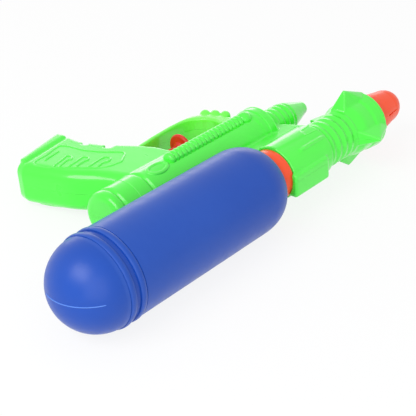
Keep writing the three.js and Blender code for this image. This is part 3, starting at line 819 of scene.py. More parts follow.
@dataclass(frozen=True)
class SoftRubber(Finish):
    """Black moulded rubber with a dusty bloom."""

    def shade(self, graph: Graph) -> Wire:
        """Builds the rubber's nodes.

        Args:
            graph: The material's node graph.

        Returns:
            The shader.
        """
        place = graph.place()
        bloom = graph.noise(place, 320.0, 4.0)
        grain = graph.noise(place, 3000.0, 2.0)
        colour = graph.mix(graph.span(bloom, 0.45, 0.8, 0.0, 0.5), self.base, (0.06, 0.06, 0.065))
        rough = graph.span(bloom, 0.3, 0.7, 0.68, 0.86)
        return graph.wire("ShaderNodeBsdfPrincipled", None, {
            "Base Color": colour, "Roughness": rough, "Normal": graph.bump(grain, 0.25, 0.00008)})


@dataclass(frozen=True)
class ClearHose(Finish):
    """Milky clear hose with faint drawing lines."""

    def shade(self, graph: Graph) -> Wire:
        """Builds the hose's nodes.

        Args:
            graph: The material's node graph.

        Returns:
            The shader.
        """
        place = graph.place()
        lines = graph.noise(place, 700.0, 3.0, (0.08, 1.0, 1.0))
        haze = graph.noise(place, 120.0, 3.0)
        colour = graph.mix(graph.span(haze, 0.35, 0.7, 0.0, 1.0), self.base, (0.82, 0.86, 0.88))
        rough = graph.span(lines, 0.3, 0.7, 0.2, 0.36)
        alpha = graph.span(haze, 0.3, 0.7, 0.55, 0.75)
        return graph.wire("ShaderNodeBsdfPrincipled", None, {
            "Base Color": colour, "Roughness": rough, "Alpha": alpha,
            "Normal": graph.bump(lines, 0.2, 0.00008)})


@dataclass(frozen=True)
class Finishes:
    """All finishes of the toy."""

    # Second colours below: the darker ones serve flow clouds and painted crease shade; the pale ones serve edge
    # wear and painted edge highlights.
    green: Finish = ThinWallPlastic(
        Slot.GREEN, (0.06, 0.9, 0.042), cloud_and_crease_shade=(0.035, 0.78, 0.02), pale=(0.2, 0.97, 0.17), thin=(0.19, 1.0, 0.08),
        smooth=0.28, dull=0.4, coat=1.0)
    blue: Finish = MouldedPlastic(
        Slot.BLUE, (0.008, 0.069, 0.415), cloud_and_crease_shade=(0.006, 0.052, 0.36), pale=(0.1, 0.22, 0.68),
        smooth=0.3, dull=0.4, coat=0.0)
    # Paler blue of the raised pinch-off line, painted as the highlight that the line catches.
    pinch_highlight: Finish = MouldedPlastic(
        Slot.BLUE, (0.07, 0.2, 0.66), "pinch_highlight", cloud_and_crease_shade=(0.05, 0.16, 0.6), pale=(0.14, 0.3, 0.8),
        smooth=0.3, dull=0.42, coat=0.0)
    orange: Finish = MouldedPlastic(
        Slot.ORANGE, (1.0, 0.08, 0.012), cloud_and_crease_shade=(0.86, 0.045, 0.006), pale=(1.0, 0.2, 0.1),
        smooth=0.28, dull=0.4, coat=0.1)
    red: Finish = MouldedPlastic(
        Slot.RED, (0.74, 0.03, 0.008), cloud_and_crease_shade=(0.6, 0.02, 0.005), pale=(0.7, 0.08, 0.045),
        smooth=0.32, dull=0.44, coat=0.0)
    grey: Finish = MouldedPlastic(
        Slot.GREY, (0.28, 0.29, 0.31), cloud_and_crease_shade=(0.2, 0.21, 0.22), pale=(0.4, 0.41, 0.43),
        smooth=0.45, dull=0.6, coat=0.0)
    clear: Finish = ClearHose(Slot.CLEAR, (0.7, 0.74, 0.76))
    rubber: Finish = SoftRubber(Slot.RUBBER, (0.019, 0.021, 0.024))
    steel: Finish = BrightSteel(Slot.STEEL, (0.46, 0.48, 0.5))


class Bench:
    """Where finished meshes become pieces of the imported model."""

    def __init__(self, lay: Lay) -> None:
        """Keeps the lay matrix."""
        self.matrix = lay.matrix()

    def piece(self, name: str, mesh: bpy.types.Mesh, finish: Finish, body: Body, stands_for: Sequence[str] = (),
              crease: float = 35.0) -> bpy.types.Object:
        """Makes a piece of a finished local mesh.

        Args:
            name: Name of the piece.
            mesh: Its mesh in local millimetres, which is moved to the frame.
            finish: Its finish.
            body: The body that it rides on.
            stands_for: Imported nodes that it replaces.
            crease: Angle in degrees above which an edge stays sharp.

        Returns:
            The new object.
        """
        mesh.name = name
        mesh.transform(self.matrix)
        mesh.shade_smooth()
        mesh.set_sharp_from_angle(angle=math.radians(crease))
        mesh.materials.clear()
        mesh.materials.append(finish.material())
        made = shown(name, mesh)
        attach(made, body.value)
        if stands_for:
            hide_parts(*stands_for)
        LOG.info("%s: %d faces on %s", name, len(mesh.polygons), body.value)
        return made

    def dress(self, node: str, finish: Finish) -> None:
        """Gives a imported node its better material.

        Args:
            node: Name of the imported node.
            finish: Its finish.
        """
        for spot in frame["nodes"][node].material_slots:
            spot.material = finish.material()
        LOG.info("%s: dressed as %s", node, finish.slot.value)


@dataclass
class Tank:
    """Blue bottle tank with a round end, two beads, a rounded shoulder and a threaded neck.

    Attributes:
        dome: Place of the round end's centre.
        dome_end: Angle in degrees at which the round end meets the first bead.
        bead_gap: Length of the slope from the last bead to the side.
        belly: Place and height of the side's slight belly.
        inner_shoulder: Places after the shoulder's start, with the inner radius at each.
        pinch_sweep: First angle and sweep of the pinch-off line, in degrees.
        pinch_side: Local z of that line.
    """

    radius: float = 24.0
    wall: float = 1.4
    dome: float = -6.0
    dome_radius: float = 23.75
    dome_end: float = 93.0
    bead: float = 24.5
    bead_root: float = 23.35
    bead_starts: tuple[float, ...] = (-7.2, -0.7)
    bead_width: float = 3.6
    bead_spans: int = 8
    bead_fullness: float = 0.55
    bead_gap: float = 0.4
    belly: tuple[float, float] = (48.0, 0.02)
    shoulder: float = 96.0
    shoulder_end: float = 114.6
    shoulder_flat: float = 12.5
    shoulder_spans: int = 18
    inner_shoulder: Flat = ((16.0, 15.4), (12.0, 19.0), (6.0, 21.6))
    neck: float = 8.8
    neck_end: float = 131.5
    thread_start: float = 118.5
    thread_turns: float = 2.0
    thread_wire: float = 1.0
    pinch_sweep: tuple[float, float] = (-58.0, 82.0)
    pinch_spans: int = 40
    pinch_side: float = 2.0
    pinch_wire: float = 0.28

    def bead_profile(self, start: float) -> list[tuple[float, float]]:
        """Gives the profile of one bead.

        Args:
            start: Place of the bead's start.

        Returns:
            Pairs of place and radius.
        """
        half = self.bead_width / 2
        profile = []
        for i in range(self.bead_spans + 1):
            turn = math.pi * i / self.bead_spans
            rise = math.sin(turn) ** self.bead_fullness if 0 < i < self.bead_spans else 0.0
            radius = self.bead_root + (self.bead - self.bead_root) * rise
            profile.append((start + half - half * math.cos(turn), radius))
        return profile

    def outside(self) -> list[tuple[float, float]]:
        """Gives the outer profile from the pole to the neck's foot.

        Returns:
            Pairs of place and radius.
        """
        dome = arc(self.dome, self.dome_radius, 180, self.dome_end, 28)
        beads = [point for start in self.bead_starts for point in self.bead_profile(start)]
        foot = (self.bead_starts[-1] + self.bead_width + self.bead_gap, self.radius)
        place, rise = self.belly
        fall = self.radius - self.shoulder_flat
        run = self.shoulder_end - self.shoulder
        turns = [QUARTER_TURN * i / self.shoulder_spans for i in range(self.shoulder_spans + 1)]
        shoulder = [(self.shoulder + run * math.sin(t), self.shoulder_flat + fall * math.cos(t)) for t in turns]
        return [*dome, *beads, foot, (place, self.radius + rise), *shoulder]

    def inside(self) -> list[tuple[float, float]]:
        """Gives the inner profile from the neck's mouth to the pole.

        Returns:
            Pairs of place and radius.
        """
        radius = self.radius - self.wall
        bore = self.neck - self.wall
        return [
            (self.neck_end - 0.4, bore), (self.shoulder_end - 1.0, bore),
            (self.shoulder_end - 1.6, self.shoulder_flat - self.wall),
            *((self.shoulder + run, r) for run, r in self.inner_shoulder), (self.shoulder - 1.0, radius),
            *arc(self.dome, radius, 90, 180, 18),
        ]

    def pinch_line(self) -> bpy.types.Mesh:
        """Makes the thin raised line that the mould leaves across the pole.

        Returns:
            The line's mesh.
        """
        reach = self.dome_radius - 0.1
        first, sweep = self.pinch_sweep
        path = []
        for i in range(self.pinch_spans + 1):
            angle = math.radians(first + sweep * i / self.pinch_spans)
            path.append(Vector((self.dome - reach * math.cos(angle), reach * math.sin(angle), self.pinch_side)))
        return Form().rod(path, self.pinch_wire, 8).mesh()

    def build(self, bench: Bench, finishes: Finishes) -> None:
        """Builds the bottle and its pinch-off line.

        Args:
            bench: Where pieces are made.
            finishes: The toy's finishes.
        """
        lip = [(self.shoulder_end, self.neck + 0.4), (self.shoulder_end + 0.4, self.neck),
               (self.neck_end - 0.5, self.neck), (self.neck_end, self.neck - 0.5),
               (self.neck_end, self.neck - self.wall + 0.3)]
        bottle = Form().turned([*self.outside(), *lip, *self.inside()], steps=112).mesh()
        thread = Form().thread(self.thread_start, self.thread_turns, self.neck, self.thread_wire).mesh()
        mesh = Workshop.run(bottle, [Workshop.join(thread)])
        bench.piece("tank_bottle", mesh, finishes.blue, Body.TANK, ["water_tank"], 30)
        # The pinch-off line's paler blue is a painted highlight.
        bench.piece("tank_pinch_line", self.pinch_line(), finishes.pinch_highlight, Body.TANK)


@dataclass
class Socket:
    """Orange collar that the tank screws into, with an elbow for the hose.

    Attributes:
        fit: Radius that sits in the barrel.
        groove: Start, end and radius of the groove that a rib of the body holds.
        spigot: Radius of the ends that the tubes are pushed on.
        spout: Start and end of the elbow's side spigot, from the axis.
        way: Radius of the water's way.
        thread_radius: Radius of the thread groove's middle line.
    """

    collar: float = 14.2
    start: float = 115.7
    seat: float = 123.1
    fit: float = 12.7
    bore: float = 9.25
    floor: float = 132.5
    end: float = 136.1
    groove: tuple[float, float, float] = (126.6, 129.4, 11.4)
    elbow: float = 141.5
    elbow_end: float = 145.5
    elbow_radius: float = 4.6
    spigot: float = 1.9
    spigot_start: float = 123.0
    spout: tuple[float, float] = (3.0, 12.0)
    way: float = 1.1
    thread_start: float = 110.5
    thread_turns: float = 4.6
    thread_radius: float = 8.8
    thread_wire: float = 1.7

    def build(self, bench: Bench, finishes: Finishes) -> None:
        """Builds the collar.

        Args:
            bench: Where pieces are made.
            finishes: The toy's finishes.
        """
        first, last, root = self.groove
        body = Form().turned([
            (self.spigot_start, 0), (self.spigot_start, self.spigot), (self.floor, self.spigot),
            (self.floor, self.bore), (self.start, self.bore), (self.start, self.collar), (self.seat, self.collar),
            (self.seat, self.fit), (first, self.fit), (first, root), (last, root), (last, self.fit),
            (self.end, self.fit), (self.end, self.elbow_radius), (self.elbow_end, self.elbow_radius),
            (self.elbow_end, 0),
        ], soften=0.35).mesh()
        upright = Matrix.Translation((self.elbow, 0, 0)) @ Matrix.Rotation(QUARTER_TURN, 4, "Z")
        low, high = self.spout
        spout = Form().turned([(low, 0), (low, self.spigot), (high, self.spigot), (high, 0)], steps=32, soften=0.2,
                              place=upright).mesh()
        past = high + 1
        ways = [
            Form().bar(self.spigot_start - 1, self.elbow + self.way, self.way, steps=24),
            Form().turned([(0, 0), (0, self.way), (past, self.way), (past, 0)], steps=24, place=upright),
            Form().thread(self.thread_start, self.thread_turns, self.thread_radius, self.thread_wire),
        ]
        mesh = Workshop.run(body, [Workshop.join(spout), *(Workshop.cut(way.mesh()) for way in ways)])
        bench.piece("collar_socket", mesh, finishes.orange, Body.SHELL, ["tank_socket"])


@dataclass
class Shells:
    """Green body in two halves that meet at the parting plane.

    Attributes:
        parting: Gap between the halves.
        voxel: Grain of the mesh that fuses the outside.
        bellows: Count, root radius and crest radius of the bellows' rings.
        shroud_rise: Profile from the bellows up to the shroud, from the shroud's start.
        shroud_lip: Profile of the shroud's band and lip, from the lip.
        fin_foot: Radius at which the fins begin.
        fin_edge: Half thickness of a fin's top.
        fin_leans: How far each fin's back leans, in turn about the axis.
        fin_ridge: Top of a fin, in places and radii.
        low_ridge: Top of the lowest fin, which is cut back.
        tube_rear: Profile of the tube's rear end.
        tube_grooves: Start and end of each groove round the tube.
        tube_bands: Bands at the tube's front, in places and heights.
        muzzle: Profile of the dummy muzzle.
        strap: Stops of the grip's rounded back.
        guard_foot: Where the guard's loop ends in the tube.
        screws: Places of the screws in local x and y.
        screw_holes: Low end, high end and radius of each hole of a screw.
        surface: Outside of the body, which the raised lines are laid on.
    """

    parting: float = 0.1
    voxel: float = 0.55
    barrel_start: float = 123.4
    barrel_end: float = 158.0
    barrel: float = 15.0
    bellows: tuple[int, float, float] = (5, 12.4, 13.5)
    shroud: float = 186.5
    shroud_rise: Flat = ((-4, 12.4), (-2, 13.4), (0, 14.4), (2.5, 15.3), (5, 15.5))
    shroud_lip: Flat = ((-8, 15.5), (-7.5, 16.2), (0, 17.1))
    lip: float = 206.0
    fin_back: float = 183.6
    fin_front: float = 205.6
    fin_foot: float = 13.0
    fin_edge: float = 0.7
    fin_leans: tuple[float, ...] = (0.0, -1.0, 0.0, 1.0)
    fin_ridge: Flat = ((188.4, 24.5),)
    low_ridge: Flat = ((183.8, 18.0), (191.8, 23.4))
    rail: tuple[Place, Place] = ((121.6, -16.7, -9.4), (151.2, -6.0, 4.0))
    tube_drop: float = 40.3
    tube: float = 14.2
    tube_rear: Flat = ((37.0, 0), (37.0, 10.6), (37.3, 12.0), (38.0, 13.1), (39.0, 13.9))
    tube_grooves: Flat = ((42.3, 44.6), (62.4, 64.8))
    groove_depth: float = 1.3
    groove_slope: float = 0.5
    tube_bands: Flat = ((151.0, 0), (151.6, 0.5), (155.4, 0.5), (156.0, 1), (160.6, 1), (162.0, 0))
    muzzle: Flat = ((185.0, 9.1), (197.6, 5.0), (199.6, 4.4), (201.6, 3.9), (202.9, 2.8), (203.5, 1.4), (203.5, 0))
    grip_half: float = 12.0
    strap: Flat = ((57, 54), (53.4, 63), (46.4, 76.6), (41.9, 91.6), (38.4, 105))
    grip_top: tuple[float, float] = (62, 40)
    grip_back: Flat = ((39.4, 110.4), (46, 117.6), (92, 128), (110, 84), (112, 40))
    grip_front: Flat = ((30, 40), (30, 107.9), (78.8, 119.3), (78, 101), (81.6, 88), (85, 82), (91.6, 70), (96, 60),
                        (99, 40))
    grip_inside: Flat = ((64, 44), (62.2, 57), (59.4, 64.6), (53, 77), (48, 92), (45.4, 108), (75.6, 115.8),
                         (73.6, 98), (77.4, 82), (88.4, 70), (92, 60), (93, 44))
    finger_notches: tuple[Flat, ...] = (
        ((86, 102), (76.2, 97.8), (77, 94.2), (86, 95)),
        ((90, 88), (79.8, 84), (81.4, 80.2), (92, 79.6)),
    )
    butt_plate: Flat = ((43.2, 107.4), (43.9, 111.6), (78.2, 119.9), (78.8, 113.2))
    guard_outer: Flat = ((88, 74), (100, 77.6), (122, 80), (136, 80.2), (145, 78.8), (151, 75), (154, 69.6),
                         (155.8, 64), (157, 58))
    guard_inner: Flat = ((147.4, 58), (148.4, 64), (145.6, 71.8), (137, 77.4), (118, 77), (100, 74.6), (90, 71))
    guard_foot: Flat = ((157.4, 46), (147.4, 46))
    guard_bumps: Flat = ((153.4, 74.8), (156.2, 69.4), (158.4, 63.4))
    web: Flat = ((129, 8), (178, 8), (174, 20), (168, 34), (129, 34))
    web_inside: Flat = ((131, 6), (160, 6), (160, 36), (131, 36))
    pad: Flat = ((123.6, -2.8), (146.8, -4.0), (148.2, -0.4), (156.4, 9.2), (123.6, 9.2))
    rib_starts: tuple[float, float] = (61.6, 74.0)
    screws: Flat = ((61, 106), (50, 40.3), (110, 47), (147, 47), (146, -8.5), (173, 40.3))
    screw_holes: tuple[Place, ...] = ((-6.0, 0.0, 1.45), (-1.0, 7.0, 1.3), (-30.0, -5.0, 2.85))
    surface: BVHTree | None = field(default=None, init=False)

    def barrel_forms(self, form: Form) -> None:
        """Adds barrel, bellows, shroud, rail and side ribs.

        Args:
            form: The body's outside in the making.
        """
        start, end = self.barrel_start, self.barrel_end
        form.turned([
            (start, 0), (start, self.barrel - 0.5), (start + 0.6, self.barrel), (end - 0.9, self.barrel),
            (end, self.barrel - 0.9), *rings(end + 0.4, self.shroud - 1, *self.bellows, 10, 2.0),
            (self.shroud, 12.9), (self.shroud + 2, 12.9), (self.shroud + 2, 0),
        ])
        rise = [(self.shroud + run, r) for run, r in self.shroud_rise]
        lip = [(self.lip + run, r) for run, r in self.shroud_lip]
        form.turned([(rise[0][0], 0), *rise, *lip, (self.lip, 0)])
        self.fin_forms(form)
        form.block(*self.rail, 1.4)
        for side in Side:
            form.rod(straight((135, -9.6, side.value * 11.75), (21, 0, 0), 12), 1.0, 12)

    def fin_forms(self, form: Form) -> None:
        """Adds the four fins round the shroud.

        Args:
            form: The body's outside in the making.
        """
        top = self.fin_edge
        front = [(self.fin_front, r, z * sign) for r, z in ((self.fin_foot, 5.0), (17.5, top)) for sign in (1, -1)]
        lowest = len(self.fin_leans) - 1
        for i, lean in enumerate(self.fin_leans):
            back = [(self.fin_back - lean * sign, self.fin_foot, sign * 4.4 + lean * 1.2) for sign in (-1, 1)]
            ridge = self.low_ridge if i == lowest else self.fin_ridge
            crest = [(x, r, z) for x, r in ridge for z in (-top, top)]
            form.wedge([*back, *crest, *front], Matrix.Rotation(i * QUARTER_TURN, 4, "X"))

    def tube_forms(self, form: Form) -> None:
        """Adds the lower tube and its muzzle.

        Args:
            form: The body's outside in the making.
        """
        r = self.tube
        root = r - self.groove_depth
        slope = self.groove_slope
        grooves = [point for start, end in self.tube_grooves
                   for point in ((start, r), (start + slope, root), (end - slope, root), (end, r))]
        bands = [(x, r + rise) for x, rise in self.tube_bands]
        form.turned([
            *self.tube_rear, (40.6, r), *grooves, *bands, (162.0, 8.4),
            *rings(163.0, 184.0, 5, 8.3, 9.5), *self.muzzle,
        ], self.tube_drop)

    def grip_mesh(self) -> bpy.types.Mesh:
        """Makes the grip with its rounded strap, finger notches and butt groove.

        Returns:
            The grip's mesh.
        """
        strap = [tuple(p) for p in smooth_path(self.strap, 5)]
        back = Form().plate([self.grip_top, *strap, *self.grip_back], self.grip_half, 6.5, 8).mesh()
        front = Form().plate(self.grip_front, self.grip_half, 0.9, 3).mesh()
        tools = [Form().plate(notch, self.grip_half + 1).mesh() for notch in self.finger_notches]
        groove = straight((37, 105.3, self.grip_half + 0.4), (47, 7.5, 0), 20)
        tools.append(Form().rod(groove, 1.25, 12).mirrored().mesh())
        return Workshop.run(back, [Workshop.common(front), *map(Workshop.cut, tools)])

    def guard_forms(self, form: Form) -> None:
        """Adds the looped guard with its three bumps, the butt ridge and the web.

        Args:
            form: The body's outside in the making.
        """
        outer, inner = (smooth_path(stops, 5) for stops in (self.guard_outer, self.guard_inner))
        form.plate([*outer, *self.guard_foot, *inner], 7.0, 1.3, 4)
        cap = arc(5.6, 3.2, 90, 0, 6)
        bump = [(-a, r) for a, r in reversed(cap)] + cap
        for x, y in self.guard_bumps:
            across = Matrix.Translation((x, y, 0)) @ Matrix.Rotation(QUARTER_TURN, 4, "Y")
            form.turned(bump, steps=32, place=across)
        form.plate(self.butt_plate, 12.6, 1.2, 3)
        form.plate(self.web, 4.5, 0.6, 2)

    def pad_mesh(self) -> bpy.types.Mesh:
        """Makes the raised pads where the web runs up both flanks of the barrel."""
        pads = Form().plate(self.pad, 4.0, 0.0, middle=13.0).mirrored().mesh()
        return Workshop.run(pads, [Workshop.common(Form().bar(120, 160, self.barrel + 0.6, steps=96).mesh())])

    def hollow(self) -> bpy.types.Mesh:
        """Makes the hollow inside of the body, less the bosses and ribs that stand in it.

        Returns:
            The mesh of the hollow.
        """
        bores = (
            (self.barrel_start - 1, self.barrel_end, 13.0, 0.0),
            (self.barrel_end - 1, 194.0, 9.7, 0.0),
            (193.7, self.lip + 1, 12.6, 0.0),
            (196.9, 199.9, 14.1, 0.0),
            (39.0, 160.0, 10.9, self.tube_drop),
            (159.0, 184.0, 6.4, self.tube_drop),
        )
        spaces = [Form().bar(*bore) for bore in bores]
        spaces += [Form().plate(self.grip_inside, self.grip_half - 2), Form().plate(self.web_inside, 3.2)]
        stays = [Form().post(x, y, -20, 20, 3.6) for x, y in self.screws]
        stays += [Form().block((start, 58.4, -11), (start + 1.8, 76, 11)) for start in self.rib_starts]
        stays += [Form().hoop(126.9, 129.1, 11.7, 14.0), Form().hoop(172.0, 174.0, 2.7, 10.7)]
        first, *rest = [space.mesh() for space in spaces]
        steps = [*map(Workshop.join, rest), *(Workshop.cut(stay.mesh()) for stay in stays)]
        return Workshop.run(first, steps)

    def ways(self) -> list[bpy.types.Mesh]:
        """Makes the tools for the pump seat, the rod way, the collar and the screw holes.

        Returns:
            A mesh for each tool.
        """
        tools = [
            Form().bar(62.4, 90.1, 8.1, PUMP_DROP),
            Form().bar(86.0, 112.0, 2.45, PUMP_DROP, steps=32),
            Form().bar(110.0, self.barrel_start + 0.3, 14.5),
        ]
        tools += [Form().post(x, y, *hole) for x, y in self.screws for hole in self.screw_holes]
        return [tool.mesh() for tool in tools]

    def build(self, bench: Bench, finishes: Finishes) -> None:
        """Builds both halves.

        Args:
            bench: Where pieces are made.
            finishes: The toy's finishes.
        """
        form = Form()
        self.barrel_forms(form)
        self.tube_forms(form)
        self.guard_forms(form)
        for mesh in (self.grip_mesh(), self.pad_mesh()):
            form.bm.from_mesh(mesh)
        outside = Workshop.run(form.mesh(), [
            Step("REMESH", {"mode": "VOXEL", "voxel_size": self.voxel, "adaptivity": 0.0}),
            Step("SMOOTH", {"factor": 0.5, "iterations": 3}),
        ])
        skin = bmesh.new()
        skin.from_mesh(outside)
        self.surface = BVHTree.FromBMesh(skin)
        skin.free()
        hollow = self.hollow()
        for side in Side:
            low, high = sorted((-side.value * 60, side.value * self.parting / 2))
            other_half = Form().block((0, -60, low), (260, 160, high)).mesh()
            mesh = Workshop.run(outside, [*map(Workshop.cut, (hollow, *self.ways(), other_half))])
            name = side.name.lower()
            bench.piece(f"{name}_half", mesh, finishes.green, Body.SHELL, [f"{name}_body_shell"], 48)


@dataclass
class Lines:
    """Raised lines on the green body: grip panel, flank ovals, barrel folds, ringed hoses and tube seams.

    Attributes:
        shells: The body that the lines are laid on.
        frame_stops: Stops of the frame round the grip panel.
        frame_sunk: Depth of the frame's middle line.
        bar_stops: Stops of the straight bar in the panel.
        hooks: Stops of the three hooked bars in the panel.
        line_wire: Radius of frame and hooks.
        bar_wire: Radius of the straight bar.
        oval_middle: Middle of the oval on the tube's flank.
        oval_half: Half length and half height of the oval.
        folds: Stops, points for each span and radius of the folds on the barrel.
        hose_drop: Local y of the ringed hose.
        hose_out: Local z of the hose's axis.
        hose_foot: Local z at which the hose ends in the tube.
        seams: Place, radius and wire of each seam round the tube.
    """

    shells: Shells
    frame_stops: Flat = ((45.3, 101.5), (56.8, 103.5), (68.3, 104.9), (71.4, 89.9), (75.2, 80.0), (81.2, 69.2),
                         (75.0, 63.4), (70.9, 62.2), (62.2, 65.6), (54.2, 77.4), (47.3, 89.2), (45.0, 95.2))
    frame_sunk: float = 0.12
    bar_stops: Flat = ((50.4, 98.8), (63.1, 101.0))
    hooks: tuple[Flat, ...] = (
        ((47.8, 88.8), (57.7, 91.5), (61.2, 92.4), (62.0, 89.7), (59.7, 87.4), (57.3, 88.2), (49.2, 85.9)),
        ((51.6, 81.5), (61.7, 83.3), (65.2, 83.6), (66.1, 80.7), (63.9, 78.9), (61.1, 79.3), (53.8, 77.9)),
        ((57.3, 72.2), (66.6, 73.6), (71.6, 73.4), (72.2, 69.8), (69.0, 68.1), (65.7, 69.2), (60.2, 67.9)),
    )
    line_wire: float = 0.58
    bar_wire: float = 0.6
    oval_middle: tuple[float, float] = (75.2, 37.7)
    oval_half: tuple[float, float] = (6.6, 3.4)
    oval_wire: float = 1.4
    oval_stops: int = 12
    folds: tuple[tuple[Flat, int, float], ...] = (
        (((146, -4.1), (153, -4.5), (160, -4.9)), 8, 0.45),
        (((149.3, 0.5), (158.8, 1.3)), 12, 0.4),
    )
    hose_drop: float = 39.3
    hose_out: float = 13.2
    hose_foot: float = 11.3
    seams: tuple[Place, ...] = ((54.0, 14.12, 0.28), (155.8, 14.9, 0.4), (160.4, 15.05, 0.4))
    seam_spans: int = 96

    def laid(self, stops: Flat, side: Side, per_span: int = 8, closed: bool = False,
             sunk: float = 0.05) -> list[Vector]:
        """Lays a flat line on the body's side.

        Args:
            stops: Points in local x and y.
            side: The side that the line is on.
            per_span: Points for each span.
            closed: Whether the line is a loop.
            sunk: Depth of the line's middle under the surface.

        Returns:
            Points on the surface.
        """
        path = []
        for x, y in smooth_path(stops, per_span, closed):
            start = Vector((x, y, side.value * 60))
            hit = self.shells.surface.ray_cast(start, Vector((0, 0, -side.value)))[0]
            if hit is not None:
                path.append(hit - Vector((0, 0, side.value * sunk)))
        return path

    def panel(self, side: Side) -> bpy.types.Mesh:
        """Makes the raised frame and bars on one side of the grip.

        Args:
            side: The side that it is on.

        Returns:
            The panel's mesh.
        """
        panel = Form().rod(self.laid(self.frame_stops, side, 8, True, self.frame_sunk), self.line_wire, 8, True)
        panel.rod(self.laid(self.bar_stops, side, 16), self.bar_wire, 8)
        for hook in self.hooks:
            panel.rod(self.laid(hook, side, 8), self.line_wire, 8)
        return panel.mesh()

    def flank(self, side: Side) -> bpy.types.Mesh:
        """Makes the oval on one flank of the tube and the folds on the barrel above it.

        Args:
            side: The side that it is on.

        Returns:
            The mesh of the lines.
        """
        (x, y), (length, height) = self.oval_middle, self.oval_half
        turns = [math.tau * i / self.oval_stops for i in range(self.oval_stops)]
        oval = [(x + length * math.cos(t), y - height * math.sin(t)) for t in turns]
        flank = Form().rod(self.laid(oval, side, 5, True, self.oval_wire / 2), self.oval_wire, 12, True)
        for stops, per_span, wire in self.folds:
            flank.rod(self.laid(stops, side, per_span), wire, 8)
        return flank.mesh()

    def hose(self, side: Side) -> bpy.types.Mesh:
        """Makes the ringed hose relief that stands out of the tube's flank.

        Args:
            side: The side that it is on.

        Returns:
            The hose's mesh.
        """
        bulb = arc(147.2, 4.6, 150, 0, 10)
        profile = [(84, 0), (84.2, 2.2), *rings(84.8, 143.2, 19, 3.5, 4.3, 8, 1.0), *bulb]
        whole = Form().turned(profile, self.hose_drop, side.value * self.hose_out, 40).mesh()
        low, high = sorted((side.value * self.hose_foot, side.value * 30))
        return Workshop.run(whole, [Workshop.common(Form().block((80, 30, low), (160, 50, high)).mesh())])

    def seam_rings(self) -> bpy.types.Mesh:
        """Makes the thin seams round the tube.

        Returns:
            The mesh of the seams.
        """
        turns = [math.tau * i / self.seam_spans for i in range(self.seam_spans)]
        drop = self.shells.tube_drop
        seams = Form()
        for place, radius, wire in self.seams:
            ring = [Vector((place, drop + radius * math.cos(t), radius * math.sin(t))) for t in turns]
            seams.rod(ring, wire, 6, True)
        return seams.mesh()

    def build(self, bench: Bench, finishes: Finishes) -> None:
        """Builds the lines of both sides and the seams.

        Args:
            bench: Where pieces are made.
            finishes: The toy's finishes.
        """
        for side in Side:
            name = side.name.lower()
            bench.piece(f"grip_lines_{name}", self.panel(side), finishes.green, Body.SHELL)
            bench.piece(f"flank_lines_{name}", self.flank(side), finishes.green, Body.SHELL)
            bench.piece(f"flank_hose_{name}", self.hose(side), finishes.green, Body.SHELL)
        bench.piece("tube_seam_rings", self.seam_rings(), finishes.green, Body.SHELL)


@dataclass
class Nozzle:
    """Orange nozzle with a flange in the shroud and two narrow slots beside its tip.

    Attributes:
        flange: Start, end and radius of the flange that the body holds.
        bore: Inner radius at the rear.
        hole: Radius of the front opening, with the length over which it stays so.
        slots: Low and high corner of each slot.
    """

    rear: float = 194.0
    seat: float = 12.3
    flange: Place = (197.2, 199.6, 13.8)
    lip: float = 206.3
    foot: float = 13.4
    tip: float = 227.0
    tip_radius: float = 9.9
    end: float = 237.0
    bore: float = 10.4
    hole: tuple[float, float] = (2.5, 8.0)
    slots: tuple[tuple[Place, Place], ...] = (
        ((217, -14, 0.5), (230, -9.6, 1.4)),
        ((217, 9.6, -1.4), (230, 14, -0.5)),
    )

    def build(self, bench: Bench, finishes: Finishes) -> None:
        """Builds the nozzle.

        Args:
            bench: Where pieces are made.
            finishes: The toy's finishes.
        """
        cap = [(self.tip + 10 * math.sin(t), self.tip_radius * (0.26 + 0.74 * math.cos(t)))
               for t in (QUARTER_TURN * i / 12 for i in range(1, 12))]
        first, last, rim = self.flange
        radius, length = self.hole
        body = Form().turned([
            (self.rear, self.bore), (self.rear, self.seat), (first, self.seat), (first, rim), (last, rim),
            (last, self.seat), (self.lip, self.seat), (self.lip, self.foot), (self.tip, self.tip_radius), *cap,
            (self.end, radius), (self.end - length, radius), (self.end - length - 1, 7.0),
            (self.lip + 2.7, self.bore), (self.rear, self.bore),
        ], soften=0.3).mesh()
        tool = Form()
        for low, high in self.slots:
            tool.block(low, high, 0.15)
        mesh = Workshop.run(body, [Workshop.cut(tool.mesh())])
        bench.piece("nozzle", mesh, finishes.orange, Body.SHELL, ["nozzle_tip"], 40)


@dataclass
class Trigger:
    """Red round push button on its rod."""

    rod_start: float = 88.5
    rod: float = 2.2
    pad: float = 119.4
    radius: float = 8.0
    thickness: float = 5.2

    def build(self, bench: Bench, finishes: Finishes) -> None:
        """Builds the trigger.

        Args:
            bench: Where pieces are made.
            finishes: The toy's finishes.
        """
        front = self.pad + self.thickness
        mesh = Form().turned([
            (self.rod_start, 0), (self.rod_start, self.rod), (self.pad - 1.6, self.rod), (self.pad, self.rod + 1.6),
            (self.pad + 0.3, self.radius - 0.9), (self.pad + 1.2, self.radius), (self.pad + 2.2, self.radius - 0.1),
            (front - 1.4, self.radius - 1.8), (front - 0.4, self.radius - 3.0), (front, self.radius - 4.0),
            (front, 0),
        ], PUMP_DROP, steps=72, soften=0.25).mesh()
        bench.piece("trigger_button", mesh, finishes.red, Body.TRIGGER, ["trigger"])


